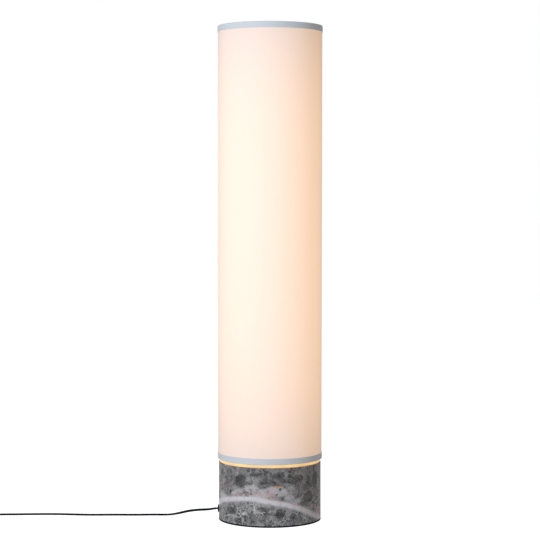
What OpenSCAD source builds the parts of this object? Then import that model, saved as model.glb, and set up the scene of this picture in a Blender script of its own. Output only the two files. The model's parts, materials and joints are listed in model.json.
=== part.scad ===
// Column floor lamp: a tall fabric drum that stands on a low stone base and is lit from within.
// Millimetres, +Z up. The origin is the centre of the base's underside, on the floor.
// A steel stem rises through the drum and carries three lampholders, one above another.

/* [Base] */
// Diameter of the stone base
base_d = 166; // [165:1:190]
// Height of the base from the floor, pad included
base_h = 95; // [85:1:120]
// Thickness of the foam pad under the stone
pad_t = 2; // [1:0.5:4]
// Bevel of the stone's upper and lower edges
arris = 0.8; // [0.4:0.1:2]
// Diameter of the hollow cut under the stone
hollow_d = 110; // [104:1:118]
// Height of the hollow's ceiling above the floor
ceiling_z = 34; // [32:1:42]
// Thickness of the steel plate that closes the hollow
cover_t = 2; // [1.5:0.5:3]
// Width of the ledge that the cover plate is screwed to
ledge_w = 12; // [11:0.5:14]
// Height of the cord's outlet above the floor
outlet_z = 16.5; // [14:0.5:18]

/* [Stem] */
// Outer diameter of the stem
stem_d = 16; // [14:1:18]
// Wall of the stem
stem_wall = 1.5; // [1:0.25:2]
// Height of the stem's upper end above the floor
stem_top = 770; // [740:5:780]
// Diameter of the threaded nipples at both ends of the stem
nipple_d = 10; // [9:0.5:10.5]
// Bore of the threaded nipples
nipple_bore = 7.2; // [6.8:0.1:7.4]
// Diameter of the foot that the stem stands on
foot_d = 44; // [36:1:60]
// Height of that foot
foot_h = 6; // [5:0.5:10]

/* [Seat ring] */
// Height of the lit gap between the stone and the shade
gap_h = 5; // [3:0.5:8]
// Height of the step that centres the shade
step_h = 4; // [2:0.5:6]
// Width of the translucent ring, from its inside to its outside
seat_w = 6.5; // [4:0.5:10]
// Depth of the groove in the stone that holds the ring
groove_h = 1.5; // [1:0.5:3]

/* [Shade] */
// Outer diameter of the shade, over its trims
shade_d = 170; // [160:1:171]
// Height of the shade
shade_h = 700; // [690:5:760]
// Thickness of the outer fabric
fabric_t = 0.5; // [0.3:0.1:1]
// Thickness of the stiff liner behind the fabric
liner_t = 0.5; // [0.3:0.1:1]
// Height of the trim at each end of the shade
trim_h = 10; // [6:1:16]
// Thickness of the trim tape
trim_t = 0.6; // [0.4:0.1:1]
// Diameter of the wire of the top ring and its arms
wire_d = 3; // [2.5:0.25:4]
// Radial width of the flat steel ring at the shade's lower end
ring_w = 3.6; // [3:0.2:5]
// Thickness of that flat ring
ring_t = 2.5; // [1.5:0.5:4]
// Diameter of the hub that joins the arms
hub_d = 24; // [20:1:30]
// Thickness of the hub
hub_t = 2.5; // [2:0.5:4]
// Diameter of the finial nut
finial_d = 17; // [14:1:24]
// Height of the finial nut
finial_h = 14; // [12:1:16]

/* [Lampholders] */
// Height of the lowest bracket above the floor
station_z = 170; // [160:5:190]
// Distance from one bracket to the next
station_step = 200; // [170:5:205]
// Distance of each lampholder from the stem's axis
reach = 42; // [38:1:46]
// Thickness of the bracket's arm
arm_t = 3; // [2:0.5:4]
// Width of the bracket's arm
arm_w = 14; // [12:1:18]
// Height of the clamp collar
collar_h = 12; // [10:1:16]
// Outer diameter of a lampholder
holder_d = 28; // [26:1:30]
// Height of a lampholder above its bracket
holder_h = 40; // [38:1:44]

/* [Bulbs] */
// Diameter of the bulb's globe
globe_d = 45; // [40:1:47]
// Height of the globe's centre above the bulb's tip
globe_z = 56; // [54:1:60]
// Diameter of the bulb's screw cap
cap_d = 13.9; // [13.5:0.1:13.9]
// Length of the screw cap
cap_h = 18; // [16:1:18]
// Thickness of the glass
glass_t = 0.9; // [0.6:0.1:1.5]

/* [Cord] */
// Width of the flat two-core cord
cord_w = 5; // [4.6:0.1:5.4]
// Thickness of the flat two-core cord
cord_t = 3; // [2.6:0.1:3.2]
// Radius of the coil at its outermost loop
coil_r = 36; // [35:1:40]
// Loops in each of the coil's two layers
coil_loops = 3.5; // [2.5:1:4.5]
// Gap between neighbouring loops
loop_gap = 0.45; // [0.42:0.01:0.8]
// Thickness of the straps that tie the coil
tie_t = 0.8; // [0.5:0.1:1.2]
// Width of those straps
tie_w = 8; // [6:1:14]
// Diameter of an insulated conductor
lead_d = 2; // [1.6:0.1:2.2]
// Diameter of the outlet bush's flange
flange_d = 12.4; // [11:0.2:16]
// Thickness of that flange
flange_t = 2.2; // [1.5:0.1:2.2]
// Length of the bush's shank inside the stone
shank_l = 20; // [12:1:22]

/* [Foot switch] */
// Diameter of the foot switch
switch_d = 64; // [60:1:72]
// Height of the foot switch's casing above the floor
switch_h = 22; // [22:1:26]
// Wall of the casing
switch_wall = 2.2; // [1.8:0.1:2.6]
// Diameter of the push button
button_d = 35; // [30:1:36]
// How far the push button stands out of the casing
button_up = 4.6; // [4.6:0.2:7]
// Travel of the push button
button_travel = 4; // [2:0.5:4]
// Length of the tapered sleeves where the cord enters the switch
sleeve_l = 22; // [20:1:30]

/* [Plug] */
// Width of the plug's body
plug_w = 35; // [34:0.5:37]
// Thickness of the plug's body
plug_t = 13.6; // [13:0.1:14]
// Length of the plug's body
plug_l = 36; // [34:1:40]
// Length of the tapered strain relief behind the plug
relief_l = 25; // [20:1:35]
// Diameter of a plug pin
pin_d = 4; // [3.8:0.1:4.8]
// Length of a plug pin
pin_l = 19; // [17:0.5:21]
// Distance between the two pins
pin_gap = 18.6; // [17.5:0.1:19]

/* [Hidden] */

$fn = 72;
over = 1;

// Clearances
thread_gap = 0.05;
slip_gap = 0.1;
loose_gap = 0.3;
bush_gap = 0.1;

// Colours
fabric_colour = [0.97, 0.93, 0.88];
trim_colour = [0.79, 0.81, 0.84];
stone_colour = [0.47, 0.46, 0.47];
steel_colour = [0.72, 0.72, 0.73];
white_colour = [0.93, 0.92, 0.9];
brass_colour = [0.8, 0.65, 0.36];
black_colour = [0.05, 0.05, 0.055];
glow_colour = [1, 0.86, 0.62];
brown_colour = [0.35, 0.2, 0.1];
grey_colour = [0.2, 0.2, 0.2];

// Base
base_r = base_d / 2;
hollow_r = hollow_d / 2;
rebate_r = hollow_r + ledge_w;
rebate_gap = 0.2;
cover_z = pad_t + rebate_gap;
ledge_z = cover_z + cover_t;
insert_r = 3.2;
insert_h = 10;
insert_ring_r = hollow_r + ledge_w / 2;
cover_screw_r = 2;
cover_head_r = 3.8;
cover_screw_l = 12;
insert_angles = [30, 150, 270];
washer_r = 20;
washer_t = 2.5;
nut_af = 16;
nut_h = 5;
nut_r = nut_af / 2 / cos(30);
washer_z = ceiling_z - washer_t;
nut_z = washer_z - nut_h;
nipple_r = nipple_d / 2;
nipple_out = 2.5;
nipple_z = nut_z - nipple_out;
stone_bore_gap = 0.5;
stone_bore_r = nipple_r + stone_bore_gap;

// Seat ring: it follows the stone, and the shade's flat ring always reaches on to it
seat_edge = 1.5;
seat_r = base_r - seat_edge;
seat_lap = 1.7;
seat_step = 2;

// Stem
stem_r = stem_d / 2;
stem_bore_r = stem_r - stem_wall;
foot_recess = 3;
stem_z = base_h + foot_h - foot_recess;
plug_in = 15;
nipple_in = 13;
top_nipple_out = 11;

// Shade, from the outside in
shade_r = shade_d / 2;
shade_z = base_h + gap_h;
shade_top = shade_z + shade_h;
fabric_r = shade_r - trim_t;
liner_r = fabric_r - fabric_t;
inner_r = liner_r - liner_t;
wire_r = wire_d / 2;
wire_ring_r = inner_r - wire_r;
wire_ring_z = shade_top - trim_t - wire_r;
ring_in_r = min(inner_r - ring_w, seat_r - seat_lap);
step_r = ring_in_r - loose_gap;
seat_in_r = min(seat_r, step_r + seat_step) - seat_w;
hub_r = hub_d / 2;
hub_hole_r = nipple_r + loose_gap;
arm_angles = [60, 180, 300];
arm_sink = 0.8;

// Finial
finial_gap = 0.1;
finial_z = stem_top + hub_t + finial_gap;
finial_room = 1;
finial_bore_h = top_nipple_out - hub_t + finial_room;
finial_dome = 3;
knurls = 24;
knurl_r = 0.6;

// Lampholders: each stands on its own bracket, turned a third of a turn from the last
stations = [0, 1, 2];
function station_h(i) = station_z + i * station_step;
function station_turn(i) = i * 120;
collar_wall = 4.5;
collar_r = stem_r + collar_wall;
arm_end_r = arm_w / 2 + 2;
stub_r = 5;
stub_l = 10;
stub_bore_r = 3.5;
holder_r = holder_d / 2;
holder_floor = 6;
holder_foot_r = 11;
holder_foot_h = 12;
holder_slope = 4;
holder_edge = 1;
ring_nut_r = 8.5;
ring_nut_h = 4;
grub_r = 2;
grub_l = 6;
cap_r = cap_d / 2;
tip_up = 15.5;
socket_in_r = cap_r + slip_gap;
socket_r = socket_in_r + 1;
socket_z = 18;
holder_bore_r = socket_r + thread_gap;
contact_r = 2.5;
contact_t = 1;
contact_base_t = 1.5;
lead_r = lead_d / 2;
lead_pitch = lead_d + 0.6;
lead_hole_r = 3.2;
lead_drop = 24;
lead_bend = 20;
lead_start = lead_pitch / 2 + lead_r + slip_gap;
lead_fan = 2;
lead_in_block = 4.5;
cord_pull = [12, 0, -4];
block_pull = [20, 0, 0];
nipple_pull = [0, 2, -16];
nipple_side = 0.5;

// Bulb
globe_r = globe_d / 2;
tip_h = 2.5;
tip_r = 3;
tip_edge = 1;
socket_h = tip_up + tip_h + cap_h - loose_gap - socket_z;
rim_h = 3;
cap_rim_t = 0.5;
throat_r = cap_r + 0.65;
flare_r = 12;
flare_drop = sqrt((globe_r + flare_r) ^ 2 - (throat_r + flare_r) ^ 2);
flare_turn = atan2(flare_drop, throat_r + flare_r);
glass_foot = tip_h + cap_h - rim_h;
glass_foot_r = cap_r - cap_rim_t - thread_gap;
arc_steps = 10;
cap_ridges = 5;
ridge_r = 0.7;

// Cord outlet, cord clamp and terminals under the stone
slot_w = cord_w + 2 * bush_gap;
slot_t = cord_t + 2 * bush_gap;
shank_r = 4.3;
rise_from = -57;
rise_l = 22;
rise_steps = 10;
spot_depth = 0.3;
spot_x = spot_depth - base_r;
flange_face = spot_x - flange_t;
spot_r = flange_d / 2 + loose_gap;
clamp_x = -31;
clamp_l = 10;
clamp_w = 20;
clamp_rise = 5.5;
clamp_cord_z = outlet_z + clamp_rise;
saddle_t = 2;
sheath_end = -22;
block_size = [18, 20, 13];
block_y = 32;
block_z = ceiling_z - block_size.z;
fixing_r = 1.5;
fixing_head_r = 2.8;
fixing_head_h = 2;
fixing_in = 8;
clamp_screw_y = 7;
block_lead_gap = 8;

// Route of the cord from the outlet to the foot switch, chosen by hand
route_to_switch = [
  [-85, 0, 16.5], [-91, 0, 16], [-99, 0, 14.8], [-107, 0.6, 14.2], [-115, 2.4, 13.5],
  [-125, 5.8, 12], [-135, 10, 9.8], [-145, 14.6, 6.7], [-155, 18.8, 3.9], [-165, 22, 2.1],
  [-176, 23.8, 1.5], [-188, 24.2, 1.5], [-200, 23.8, 1.5], [-214, 22.8, 1.5], [-228, 22.4, 1.5],
  [-242, 22.8, 1.5], [-256, 23, 1.5], [-270, 22.6, 1.5], [-284, 22, 1.5], [-298, 22.2, 1.5],
  [-312, 23.4, 1.5], [-326, 25.2, 1.5], [-340, 26.8, 1.5], [-354, 27.8, 1.5], [-368, 28, 1.5],
  [-382, 27.6, 1.5], [-396, 26.8, 1.5], [-410, 26, 1.5], [-424, 25.2, 1.5], [-438, 24.6, 1.5],
  [-452, 24.2, 1.5], [-466, 24, 1.5], [-480, 24, 1.7], [-492, 24, 2.8], [-503, 24, 4.4],
  [-513, 24, 5.3], [-521, 24, 5.5], [-528, 24, 5.5]];
// Route from the switch to the coil, from the switch's side, and the quarter turn of the flat cord
lead_in = [[0, 0, 5.5], [-8, 0, 5.4], [-18, 0, 4.9], [-28, 0, 4], [-36, 0, 3.5], [-44, 0, 3.3]];
lead_in_roll = [0, 0, 25, 65, 90, 90];
// Route from the coil's top layer round to the plug, and the quarter turn back
route_to_plug = [
  [-680, -48, 8.8], [-672, -48, 8.7], [-662, -48, 8.2], [-650, -48, 6.8], [-639, -48, 5],
  [-629, -48, 3.4], [-620, -48, 2.7], [-609.5, -50.8, 2.5], [-601.8, -58.5, 2.5], [-599, -69, 2.5],
  [-601.8, -79.5, 2.5], [-609.5, -87.2, 2.6], [-620, -90, 3], [-627, -90, 3.8], [-633, -90, 5.2],
  [-639, -90, 6.4], [-644, -90, 6.8]];
route_to_plug_roll = [90, 90, 90, 90, 90, 90, 90, 90, 90, 90, 90, 90, 90, 70, 35, 8, 0];

// Foot switch
switch_r = switch_d / 2;
route_end = route_to_switch[len(route_to_switch) - 1];
sleeve_root = 3.2;
switch_x = route_end.x - sleeve_l - switch_r;
switch_y = route_end.y;
switch_in_r = switch_r - switch_wall;
foot_t = 1.2;
tray_t = 3;
tray_z = foot_t;
tray_r = switch_in_r - 0.1;
tray_top = tray_z + tray_t;
skirt_z = tray_z + 0.4;
dome_r = 13;
dome_z = switch_h - dome_r;
dome_x = switch_r - dome_r;
button_r = button_d / 2;
button_hole_r = button_r + loose_gap;
roof_z = switch_h - switch_wall;
lip_r = button_r + 2;
lip_t = 2.2;
lip_top = roof_z - loose_gap;
lip_z = lip_top - lip_t;
button_top = switch_h + button_up;
button_roof = 21;
button_cup_r = 13.5;
button_crown = 1.6;
plunger_r = 2.5;
switch_block_size = [24, 18, 5.3];
block_top = tray_top + switch_block_size.z;
button_stop = 0.5;
button_z = block_top + button_stop + button_travel;
spring_r = 5.5;
spring_wire = 1.2;
spring_curls = 5;
curl_rings = 8;
post_at = 24;
post_r = 3.5;
post_bore_r = 1.25;
switch_screw_r = 1.2;
switch_head_r = 2.4;
switch_head_h = 1.6;
switch_screw_l = 11;
foot_r = 4;
foot_at = 22;
sleeve_z = route_end.z;
sleeve_r1 = 4.6;
sleeve_r2 = 3.4;
sleeve_collar_r = 5.2;
sleeve_collar_t = 3;
sleeve_in = switch_r - 6;
notch_gap = 0.15;
switch_lead_r = 0.8;
switch_lead_up = 1;

// Coil: the flat cord stands on edge, spirals in, climbs one layer and spirals out above itself
coil_rings = 24;
coil_step = cord_t + loop_gap;
coil_climb = cord_w + loop_gap;
coil_turns = 2 * coil_loops + 0.5;
lead_in_start = [switch_x - switch_r - sleeve_l, switch_y, 0];
lead_in_end = lead_in_start + lead_in[len(lead_in) - 1];
coil_z = tie_t + cord_w / 2;
coil_centre = [lead_in_end.x - cord_w, lead_in_end.y - coil_r, 0];
coil_inner = coil_r - coil_step * coil_turns / 2;
coil_dip = coil_step / 2;
coil_core = coil_inner + coil_step / 4 - coil_dip;
function smooth(x) = x <= 0 ? 0 : x >= 1 ? 1 : x * x * (3 - 2 * x);
// Turns before or after the middle of the reversal, where the cord climbs in half a turn
function coil_u(i) = i / coil_rings - coil_turns / 2;
function coil_radius(u) = abs(u) >= 0.5 ? coil_inner + coil_step * abs(u)
  : coil_core + (coil_inner + coil_step / 2 - coil_core) * smooth((abs(u) - 0.25) / 0.25);
function coil_height(u) = coil_z + coil_climb * smooth(2 * u + 0.5);
function coil_point(u) = let (a = 90 + 360 * (u + coil_turns / 2))
  coil_centre + [coil_radius(u) * cos(a), coil_radius(u) * sin(a), coil_height(u)];
coil_loop = [for (i = [0:coil_rings * coil_turns]) coil_point(coil_u(i))];
coil_last = coil_loop[len(coil_loop) - 1];
coil_path = concat([coil_loop[0] + [cord_w, 0, 0]], coil_loop, [coil_last + [cord_w, 0, 0]]);
// Least gap between two loops where they pass the same side of the coil
function layer_clear(u, v) = abs(coil_height(v) - coil_height(u)) - cord_w;
function loop_clear(u, v) = max(layer_clear(u, v), abs(coil_radius(v) - coil_radius(u)) - cord_t);
coil_gap = min([for (i = [0:coil_rings * (coil_turns - 1)])
  for (j = [i + coil_rings:coil_rings:coil_rings * coil_turns]) loop_clear(coil_u(i), coil_u(j))]);
function path_length(p) = len(p) < 2 ? 0 : norm(p[1] - p[0]) + rest_length(p, 1);
function rest_length(p, i) = i + 1 >= len(p) ? 0 : norm(p[i + 1] - p[i]) + rest_length(p, i + 1);
echo(coil_gap_mm = coil_gap, coil_mm = path_length(coil_path),
  to_switch_mm = path_length(route_to_switch));

// Plug, beside the coil, with its pins pointing away from the lamp
plug_end = route_to_plug[len(route_to_plug) - 1];
plug_z = plug_t / 2;
plug_flat = 14;
plug_back_w = 15;
plug_back_t = 10;
relief_r1 = 4.4;
relief_r2 = 3.3;
relief_ribs = 4;
rib_w = 2;
rib_step = 5;
rib_depth = 0.7;
rib_start = 2.5;
rib_taper = 0.2;
pin_root = 9;
pin_root_r = 1.5;

// Tubes swept along points: sections are turned about the path by a roll angle
function unit(v) = v / norm(v);
function along(p, i) = unit(p[min(i + 1, len(p) - 1)] - p[max(i - 1, 0)]);
function side_of(t) = unit(cross([0, 0, 1], t));
function ring_points(p, i, section, roll) = let (
    t = along(p, i),
    s = side_of(t),
    n = cross(t, s),
    a = s * cos(roll) + n * sin(roll),
    b = n * cos(roll) - s * sin(roll))
  [for (q = section) p[i] + a * q.x + b * q.y];
flat_section = let (e = cord_w / 2 - cord_t / 2, r = cord_t / 2)
  [[e + r, 0], [e + r * cos(45), r * sin(45)], [e, r], [-e, r], [-e - r * cos(45), r * sin(45)],
   [-e - r, 0], [-e - r * cos(45), -r * sin(45)], [-e, -r], [e, -r], [e + r * cos(45), -r * sin(45)]];
coil_section = [[cord_w / 2, 0], [cord_w / 4, cord_t / 2], [-cord_w / 4, cord_t / 2],
  [-cord_w / 2, 0], [-cord_w / 4, -cord_t / 2], [cord_w / 4, -cord_t / 2]];
lead_section = [for (k = [0:5]) lead_r * [cos(60 * k), sin(60 * k)]];

module tube(p, section, rolls = []) {
  n = len(section);
  m = len(p);
  points = [for (i = [0:m - 1]) each ring_points(p, i, section, len(rolls) == 0 ? 0 : rolls[i])];
  walls = [for (i = [0:m - 2]) for (k = [0:n - 1])
    let (a = i * n + k, b = i * n + (k + 1) % n) each [[a, b, b + n], [a, b + n, a + n]]];
  front = [for (k = [1:n - 2]) [0, k + 1, k]];
  back = [for (k = [1:n - 2]) [(m - 1) * n, (m - 1) * n + k, (m - 1) * n + k + 1]];
  polyhedron(points, concat(walls, front, back));
}

// A tube between two points that leaves along one direction and arrives along another
function bezier(a, b, c, d, t) = a * (1 - t) ^ 3 + 3 * b * t * (1 - t) ^ 2
  + 3 * c * t ^ 2 * (1 - t) + d * t ^ 3;
function bezier_path(a, b, c, d, steps) = [for (i = [0:steps]) bezier(a, b, c, d, i / steps)];
lead_steps = 12;

module ring(r_out, r_in, h) {
  difference() {
    cylinder(r = r_out, h = h);
    translate([0, 0, -over]) cylinder(r = r_in, h = h + 2 * over);
  }
}

module flat_slot(w, t, h) {
  linear_extrude(height = h) {
    square([w - t, t], center = true);
    for (s = [-1, 1]) translate([s * (w - t) / 2, 0]) circle(d = t, $fn = 32);
  }
}

// Lays a shape drawn along +Z down along +X, with its X axis along Y
module along_x() {
  rotate([0, 90, 0]) rotate([0, 0, 90]) children();
}

module at_station(i) {
  rotate([0, 0, station_turn(i)]) translate([0, 0, station_h(i)]) children();
}

// ---- Base ----

module stone_base() {
  color(stone_colour) difference() {
    rotate_extrude($fn = 128) polygon([[0, pad_t], [base_r - arris, pad_t],
      [base_r, pad_t + arris], [base_r, base_h - arris], [base_r - arris, base_h], [0, base_h]]);
    translate([0, 0, pad_t - over]) cylinder(r = rebate_r, h = ledge_z - pad_t + over);
    translate([0, 0, pad_t]) cylinder(r = hollow_r, h = ceiling_z - pad_t);
    translate([0, 0, pad_t]) cylinder(r = stone_bore_r, h = base_h);
    translate([0, 0, base_h - groove_h]) ring(seat_r + slip_gap, seat_in_r - slip_gap, groove_h + over);
    for (a = insert_angles) rotate([0, 0, a]) translate([insert_ring_r, 0, pad_t])
      cylinder(r = insert_r + thread_gap, h = ledge_z - pad_t + insert_h + slip_gap);
    translate([-base_r - over, 0, outlet_z]) rotate([0, 90, 0])
      cylinder(r = shank_r + bush_gap, h = base_r - hollow_r + 2 * over + ledge_w);
    translate([-base_r - over, 0, outlet_z]) rotate([0, 90, 0])
      cylinder(r = spot_r, h = spot_x + base_r + over);
    fixing_places() cylinder(r = fixing_r + thread_gap, h = fixing_in + slip_gap);
  }
}

module base_pad() {
  color(black_colour) cylinder(r = base_r, h = pad_t, $fn = 128);
}

module cover_plate() {
  color(steel_colour) difference() {
    translate([0, 0, cover_z]) cylinder(r = rebate_r - rebate_gap, h = cover_t);
    for (a = insert_angles) rotate([0, 0, a]) translate([insert_ring_r, 0, cover_z]) {
      translate([0, 0, -over]) cylinder(r = cover_screw_r + rebate_gap, h = cover_t + 2 * over);
      cylinder(r1 = cover_head_r + slip_gap, r2 = cover_screw_r + rebate_gap, h = cover_t);
    }
  }
}

module cover_screws() {
  color(steel_colour) for (a = insert_angles) rotate([0, 0, a])
    translate([insert_ring_r, 0, cover_z]) {
      cylinder(r1 = cover_head_r, r2 = cover_screw_r, h = cover_t);
      cylinder(r = cover_screw_r, h = cover_screw_l);
    }
}

module screw_inserts() {
  color(brass_colour) for (a = insert_angles) rotate([0, 0, a])
    translate([insert_ring_r, 0, ledge_z]) ring(insert_r, cover_screw_r + thread_gap, insert_h);
}

module clamp_washer() {
  color(steel_colour) translate([0, 0, washer_z]) ring(washer_r, nipple_r + rebate_gap, washer_t);
}

module clamp_nut() {
  color(steel_colour) difference() {
    translate([0, 0, nut_z]) cylinder(r = nut_r, h = nut_h, $fn = 6);
    translate([0, 0, nut_z - over]) cylinder(r = nipple_r + thread_gap, h = nut_h + 2 * over);
  }
}

module stem_nipple() {
  color(steel_colour) translate([0, 0, nipple_z])
    ring(nipple_r, nipple_bore / 2, stem_z + nipple_in - nipple_z);
}

module cord_gland() {
  color(black_colour) translate([flange_face, 0, outlet_z]) difference() {
    union() {
      along_x() rotate_extrude() difference() {
        square([flange_d / 2, flange_t]);
        translate([flange_d / 2 - flange_t / 3, 0]) difference() {
          translate([0, -over]) square([flange_t, over + flange_t / 3]);
          translate([0, flange_t / 3]) circle(r = flange_t / 3, $fn = 32);
        }
      }
      along_x() cylinder(r = shank_r, h = flange_t + shank_l);
    }
    translate([-over, 0, 0]) along_x() flat_slot(slot_w, slot_t, flange_t + shank_l + 2 * over);
  }
}

inside_rise = concat([[flange_face, 0, outlet_z]],
  [for (k = [0:rise_steps]) let (t = k / rise_steps)
    [rise_from + t * rise_l, 0, outlet_z + clamp_rise * smooth(t)]],
  [[sheath_end, 0, clamp_cord_z]]);

module cord_inside() {
  color(black_colour) tube(inside_rise, flat_section);
}

module cord_clamp() {
  top = clamp_cord_z + cord_t / 2 + thread_gap;
  low = clamp_cord_z - cord_t / 2 - thread_gap;
  color(white_colour) difference() {
    union() {
      translate([clamp_x - clamp_l / 2, -clamp_w / 2, low]) cube([clamp_l, clamp_w, ceiling_z - low]);
      translate([clamp_x - clamp_l / 2, -clamp_w / 2, low - saddle_t - rebate_gap])
        cube([clamp_l, clamp_w, saddle_t]);
    }
    translate([clamp_x - clamp_l / 2 - over, -cord_w / 2 - bush_gap, low - over])
      cube([clamp_l + 2 * over, cord_w + 2 * bush_gap, top - low + over]);
    for (s = [-1, 1]) translate([clamp_x, s * clamp_screw_y, low - saddle_t - over])
      cylinder(r = fixing_r + bush_gap, h = ceiling_z);
  }
}

module terminal_block() {
  color(white_colour) difference() {
    translate([-block_size.x / 2, block_y - block_size.y / 2, block_z]) cube(block_size);
    for (s = [-1, 1]) translate([-block_size.x, block_y + s * block_lead_gap / 2, block_z + block_size.z / 2])
      along_x() cylinder(r = lead_r + bush_gap, h = 2 * block_size.x);
    translate([0, block_y, block_z - over]) cylinder(r = fixing_r + bush_gap, h = block_size.z + 2 * over);
  }
}

// Screws that hold the cord clamp and the terminal block up against the stone
module fixing_places() {
  for (s = [-1, 1]) translate([clamp_x, s * clamp_screw_y, ceiling_z]) children();
  translate([0, block_y, ceiling_z]) children();
}

module fixing_screw(hang) {
  translate([0, 0, -hang]) cylinder(r = fixing_r, h = hang + fixing_in);
  translate([0, 0, -hang - fixing_head_h]) cylinder(r = fixing_head_r, h = fixing_head_h);
}

module fixing_screws() {
  clamp_hang = ceiling_z - clamp_cord_z + cord_t / 2 + thread_gap + saddle_t + rebate_gap;
  color(steel_colour) {
    for (s = [-1, 1]) translate([clamp_x, s * clamp_screw_y, ceiling_z]) fixing_screw(clamp_hang);
    translate([0, block_y, ceiling_z]) fixing_screw(block_size.z);
  }
}

module base_leads() {
  lead_z = block_z + block_size.z / 2;
  face = block_size.x / 2;
  color(brown_colour) for (s = [-1, 1]) {
    fan = [s * lead_fan, 0, 0];
    side = block_y + s * block_lead_gap / 2;
    a = [sheath_end + loose_gap, s * cord_w / 4, clamp_cord_z];
    b = [-face, side, lead_z];
    tube(concat(bezier_path(a, a + cord_pull - fan, b - block_pull - fan, b, lead_steps),
      [b + [lead_in_block, 0, 0]]), lead_section);
    c = [face, side, lead_z];
    d = [s * lead_pitch / 2, nipple_side, nipple_z - loose_gap];
    tube(concat([c - [lead_in_block, 0, 0]],
      bezier_path(c, c + block_pull + fan, d + nipple_pull + fan, d, lead_steps)), lead_section);
  }
}

module riser_leads() {
  top = station_h(2) - lead_drop + lead_r;
  color(brown_colour) for (s = [-1, 1]) translate([s * lead_pitch / 2, 0, nipple_z])
    cylinder(r = lead_r, h = top - nipple_z, $fn = 24);
}

// ---- Stem ----

module seat_ring() {
  color(glow_colour) {
    translate([0, 0, base_h - groove_h]) ring(seat_r, seat_in_r, groove_h + gap_h);
    translate([0, 0, shade_z]) ring(step_r, seat_in_r, step_h);
  }
}

module stem_foot() {
  color(white_colour) difference() {
    translate([0, 0, base_h]) rotate_extrude() polygon([[0, 0], [foot_d / 2, 0],
      [foot_d / 2, foot_h / 3], [stem_r + 2, foot_h], [0, foot_h]]);
    translate([0, 0, base_h - over]) cylinder(r = nipple_r + rebate_gap, h = foot_h);
    translate([0, 0, stem_z]) cylinder(r = stem_r + slip_gap, h = foot_h);
  }
}

module stem_tube() {
  color(white_colour) difference() {
    translate([0, 0, stem_z]) cylinder(r = stem_r, h = stem_top - stem_z);
    translate([0, 0, stem_z + plug_in])
      cylinder(r = stem_bore_r, h = stem_top - stem_z - 2 * plug_in);
    translate([0, 0, stem_z - over])
      cylinder(r = nipple_r + thread_gap, h = stem_top - stem_z + 2 * over);
    for (i = stations) at_station(i) translate([0, 0, -lead_drop]) along_x()
      cylinder(r = lead_hole_r, h = stem_d);
    for (i = stations) at_station(i) translate([-stem_d, 0, -collar_h / 2]) along_x()
      cylinder(r = grub_r + thread_gap, h = stem_d);
  }
}

module top_nipple() {
  color(steel_colour) translate([0, 0, stem_top - nipple_in])
    ring(nipple_r, nipple_bore / 2, nipple_in + top_nipple_out);
}

// ---- Lampholders ----

module bracket(i) {
  color(white_colour) at_station(i) difference() {
    union() {
      translate([0, 0, -collar_h]) cylinder(r = collar_r, h = collar_h);
      translate([0, -arm_w / 2, -arm_t]) cube([reach, arm_w, arm_t]);
      translate([reach, 0, -arm_t]) cylinder(r = arm_end_r, h = arm_t);
    }
    translate([0, 0, -collar_h - over]) cylinder(r = stem_r + thread_gap, h = collar_h + 2 * over);
    translate([reach, 0, -arm_t - over]) cylinder(r = stub_r + rebate_gap, h = arm_t + 2 * over);
    translate([-collar_r - over, 0, -collar_h / 2]) along_x()
      cylinder(r = grub_r + thread_gap, h = collar_r);
  }
}

module bracket_low() { bracket(0); }
module bracket_mid() { bracket(1); }
module bracket_top() { bracket(2); }

module holder(i) {
  color(white_colour) at_station(i) translate([reach, 0, 0]) difference() {
    union() {
      translate([0, 0, -stub_l]) cylinder(r = stub_r, h = stub_l + over);
      rotate_extrude() polygon([[0, 0], [holder_foot_r, 0], [holder_foot_r, holder_foot_h],
        [holder_r, holder_foot_h + holder_slope], [holder_r, holder_h - holder_edge],
        [holder_r - holder_edge, holder_h], [0, holder_h]]);
    }
    translate([0, 0, -stub_l - over]) cylinder(r = stub_bore_r, h = stub_l + holder_floor + 2 * over);
    translate([0, 0, holder_floor]) cylinder(r = holder_bore_r, h = holder_h);
  }
}

module holder_low() { holder(0); }
module holder_mid() { holder(1); }
module holder_top() { holder(2); }

// Brass thread sleeve and centre contact of a lampholder
module socket(i) {
  color(brass_colour) at_station(i) translate([reach, 0, 0]) {
    translate([0, 0, socket_z]) ring(socket_r, socket_in_r, socket_h);
    translate([0, 0, holder_floor]) {
      cylinder(r = contact_r, h = tip_up - holder_floor - slip_gap);
      ring(holder_bore_r - slip_gap, stub_bore_r, contact_base_t);
      translate([1 - holder_bore_r, -contact_r / 2, contact_base_t - contact_t])
        cube([2 * holder_bore_r - 2, contact_r, contact_t]);
    }
  }
}

module socket_low() { socket(0); }
module socket_mid() { socket(1); }
module socket_top() { socket(2); }

module holder_nuts() {
  color(steel_colour) for (i = stations) at_station(i)
    translate([reach, 0, -arm_t - ring_nut_h]) ring(ring_nut_r, stub_r + thread_gap, ring_nut_h);
}

module collar_screws() {
  color(steel_colour) for (i = stations) at_station(i)
    translate([-stem_r - grub_l + stem_wall, 0, -collar_h / 2]) along_x() cylinder(r = grub_r, h = grub_l);
}

module holder_leads() {
  color(brown_colour) for (i = stations) at_station(i) for (s = [-1, 1])
    translate([0, s * lead_pitch / 2, -lead_drop]) {
      translate([lead_start, 0, 0]) along_x()
        cylinder(r = lead_r, h = reach - lead_bend - lead_start, $fn = 24);
      translate([reach - lead_bend, 0, lead_bend]) rotate([90, 0, 0]) rotate([0, 0, -90])
        rotate_extrude(angle = 90, $fn = 48) translate([lead_bend, 0]) circle(r = lead_r, $fn = 24);
      translate([reach, 0, lead_bend])
        cylinder(r = lead_r, h = lead_drop - lead_bend + holder_floor, $fn = 24);
    }
}

// ---- Bulbs ----

function arc(c, r, from, to, steps) =
  [for (k = [0:steps]) let (a = from + (to - from) * k / steps) c + r * [cos(a), sin(a)]];

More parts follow.
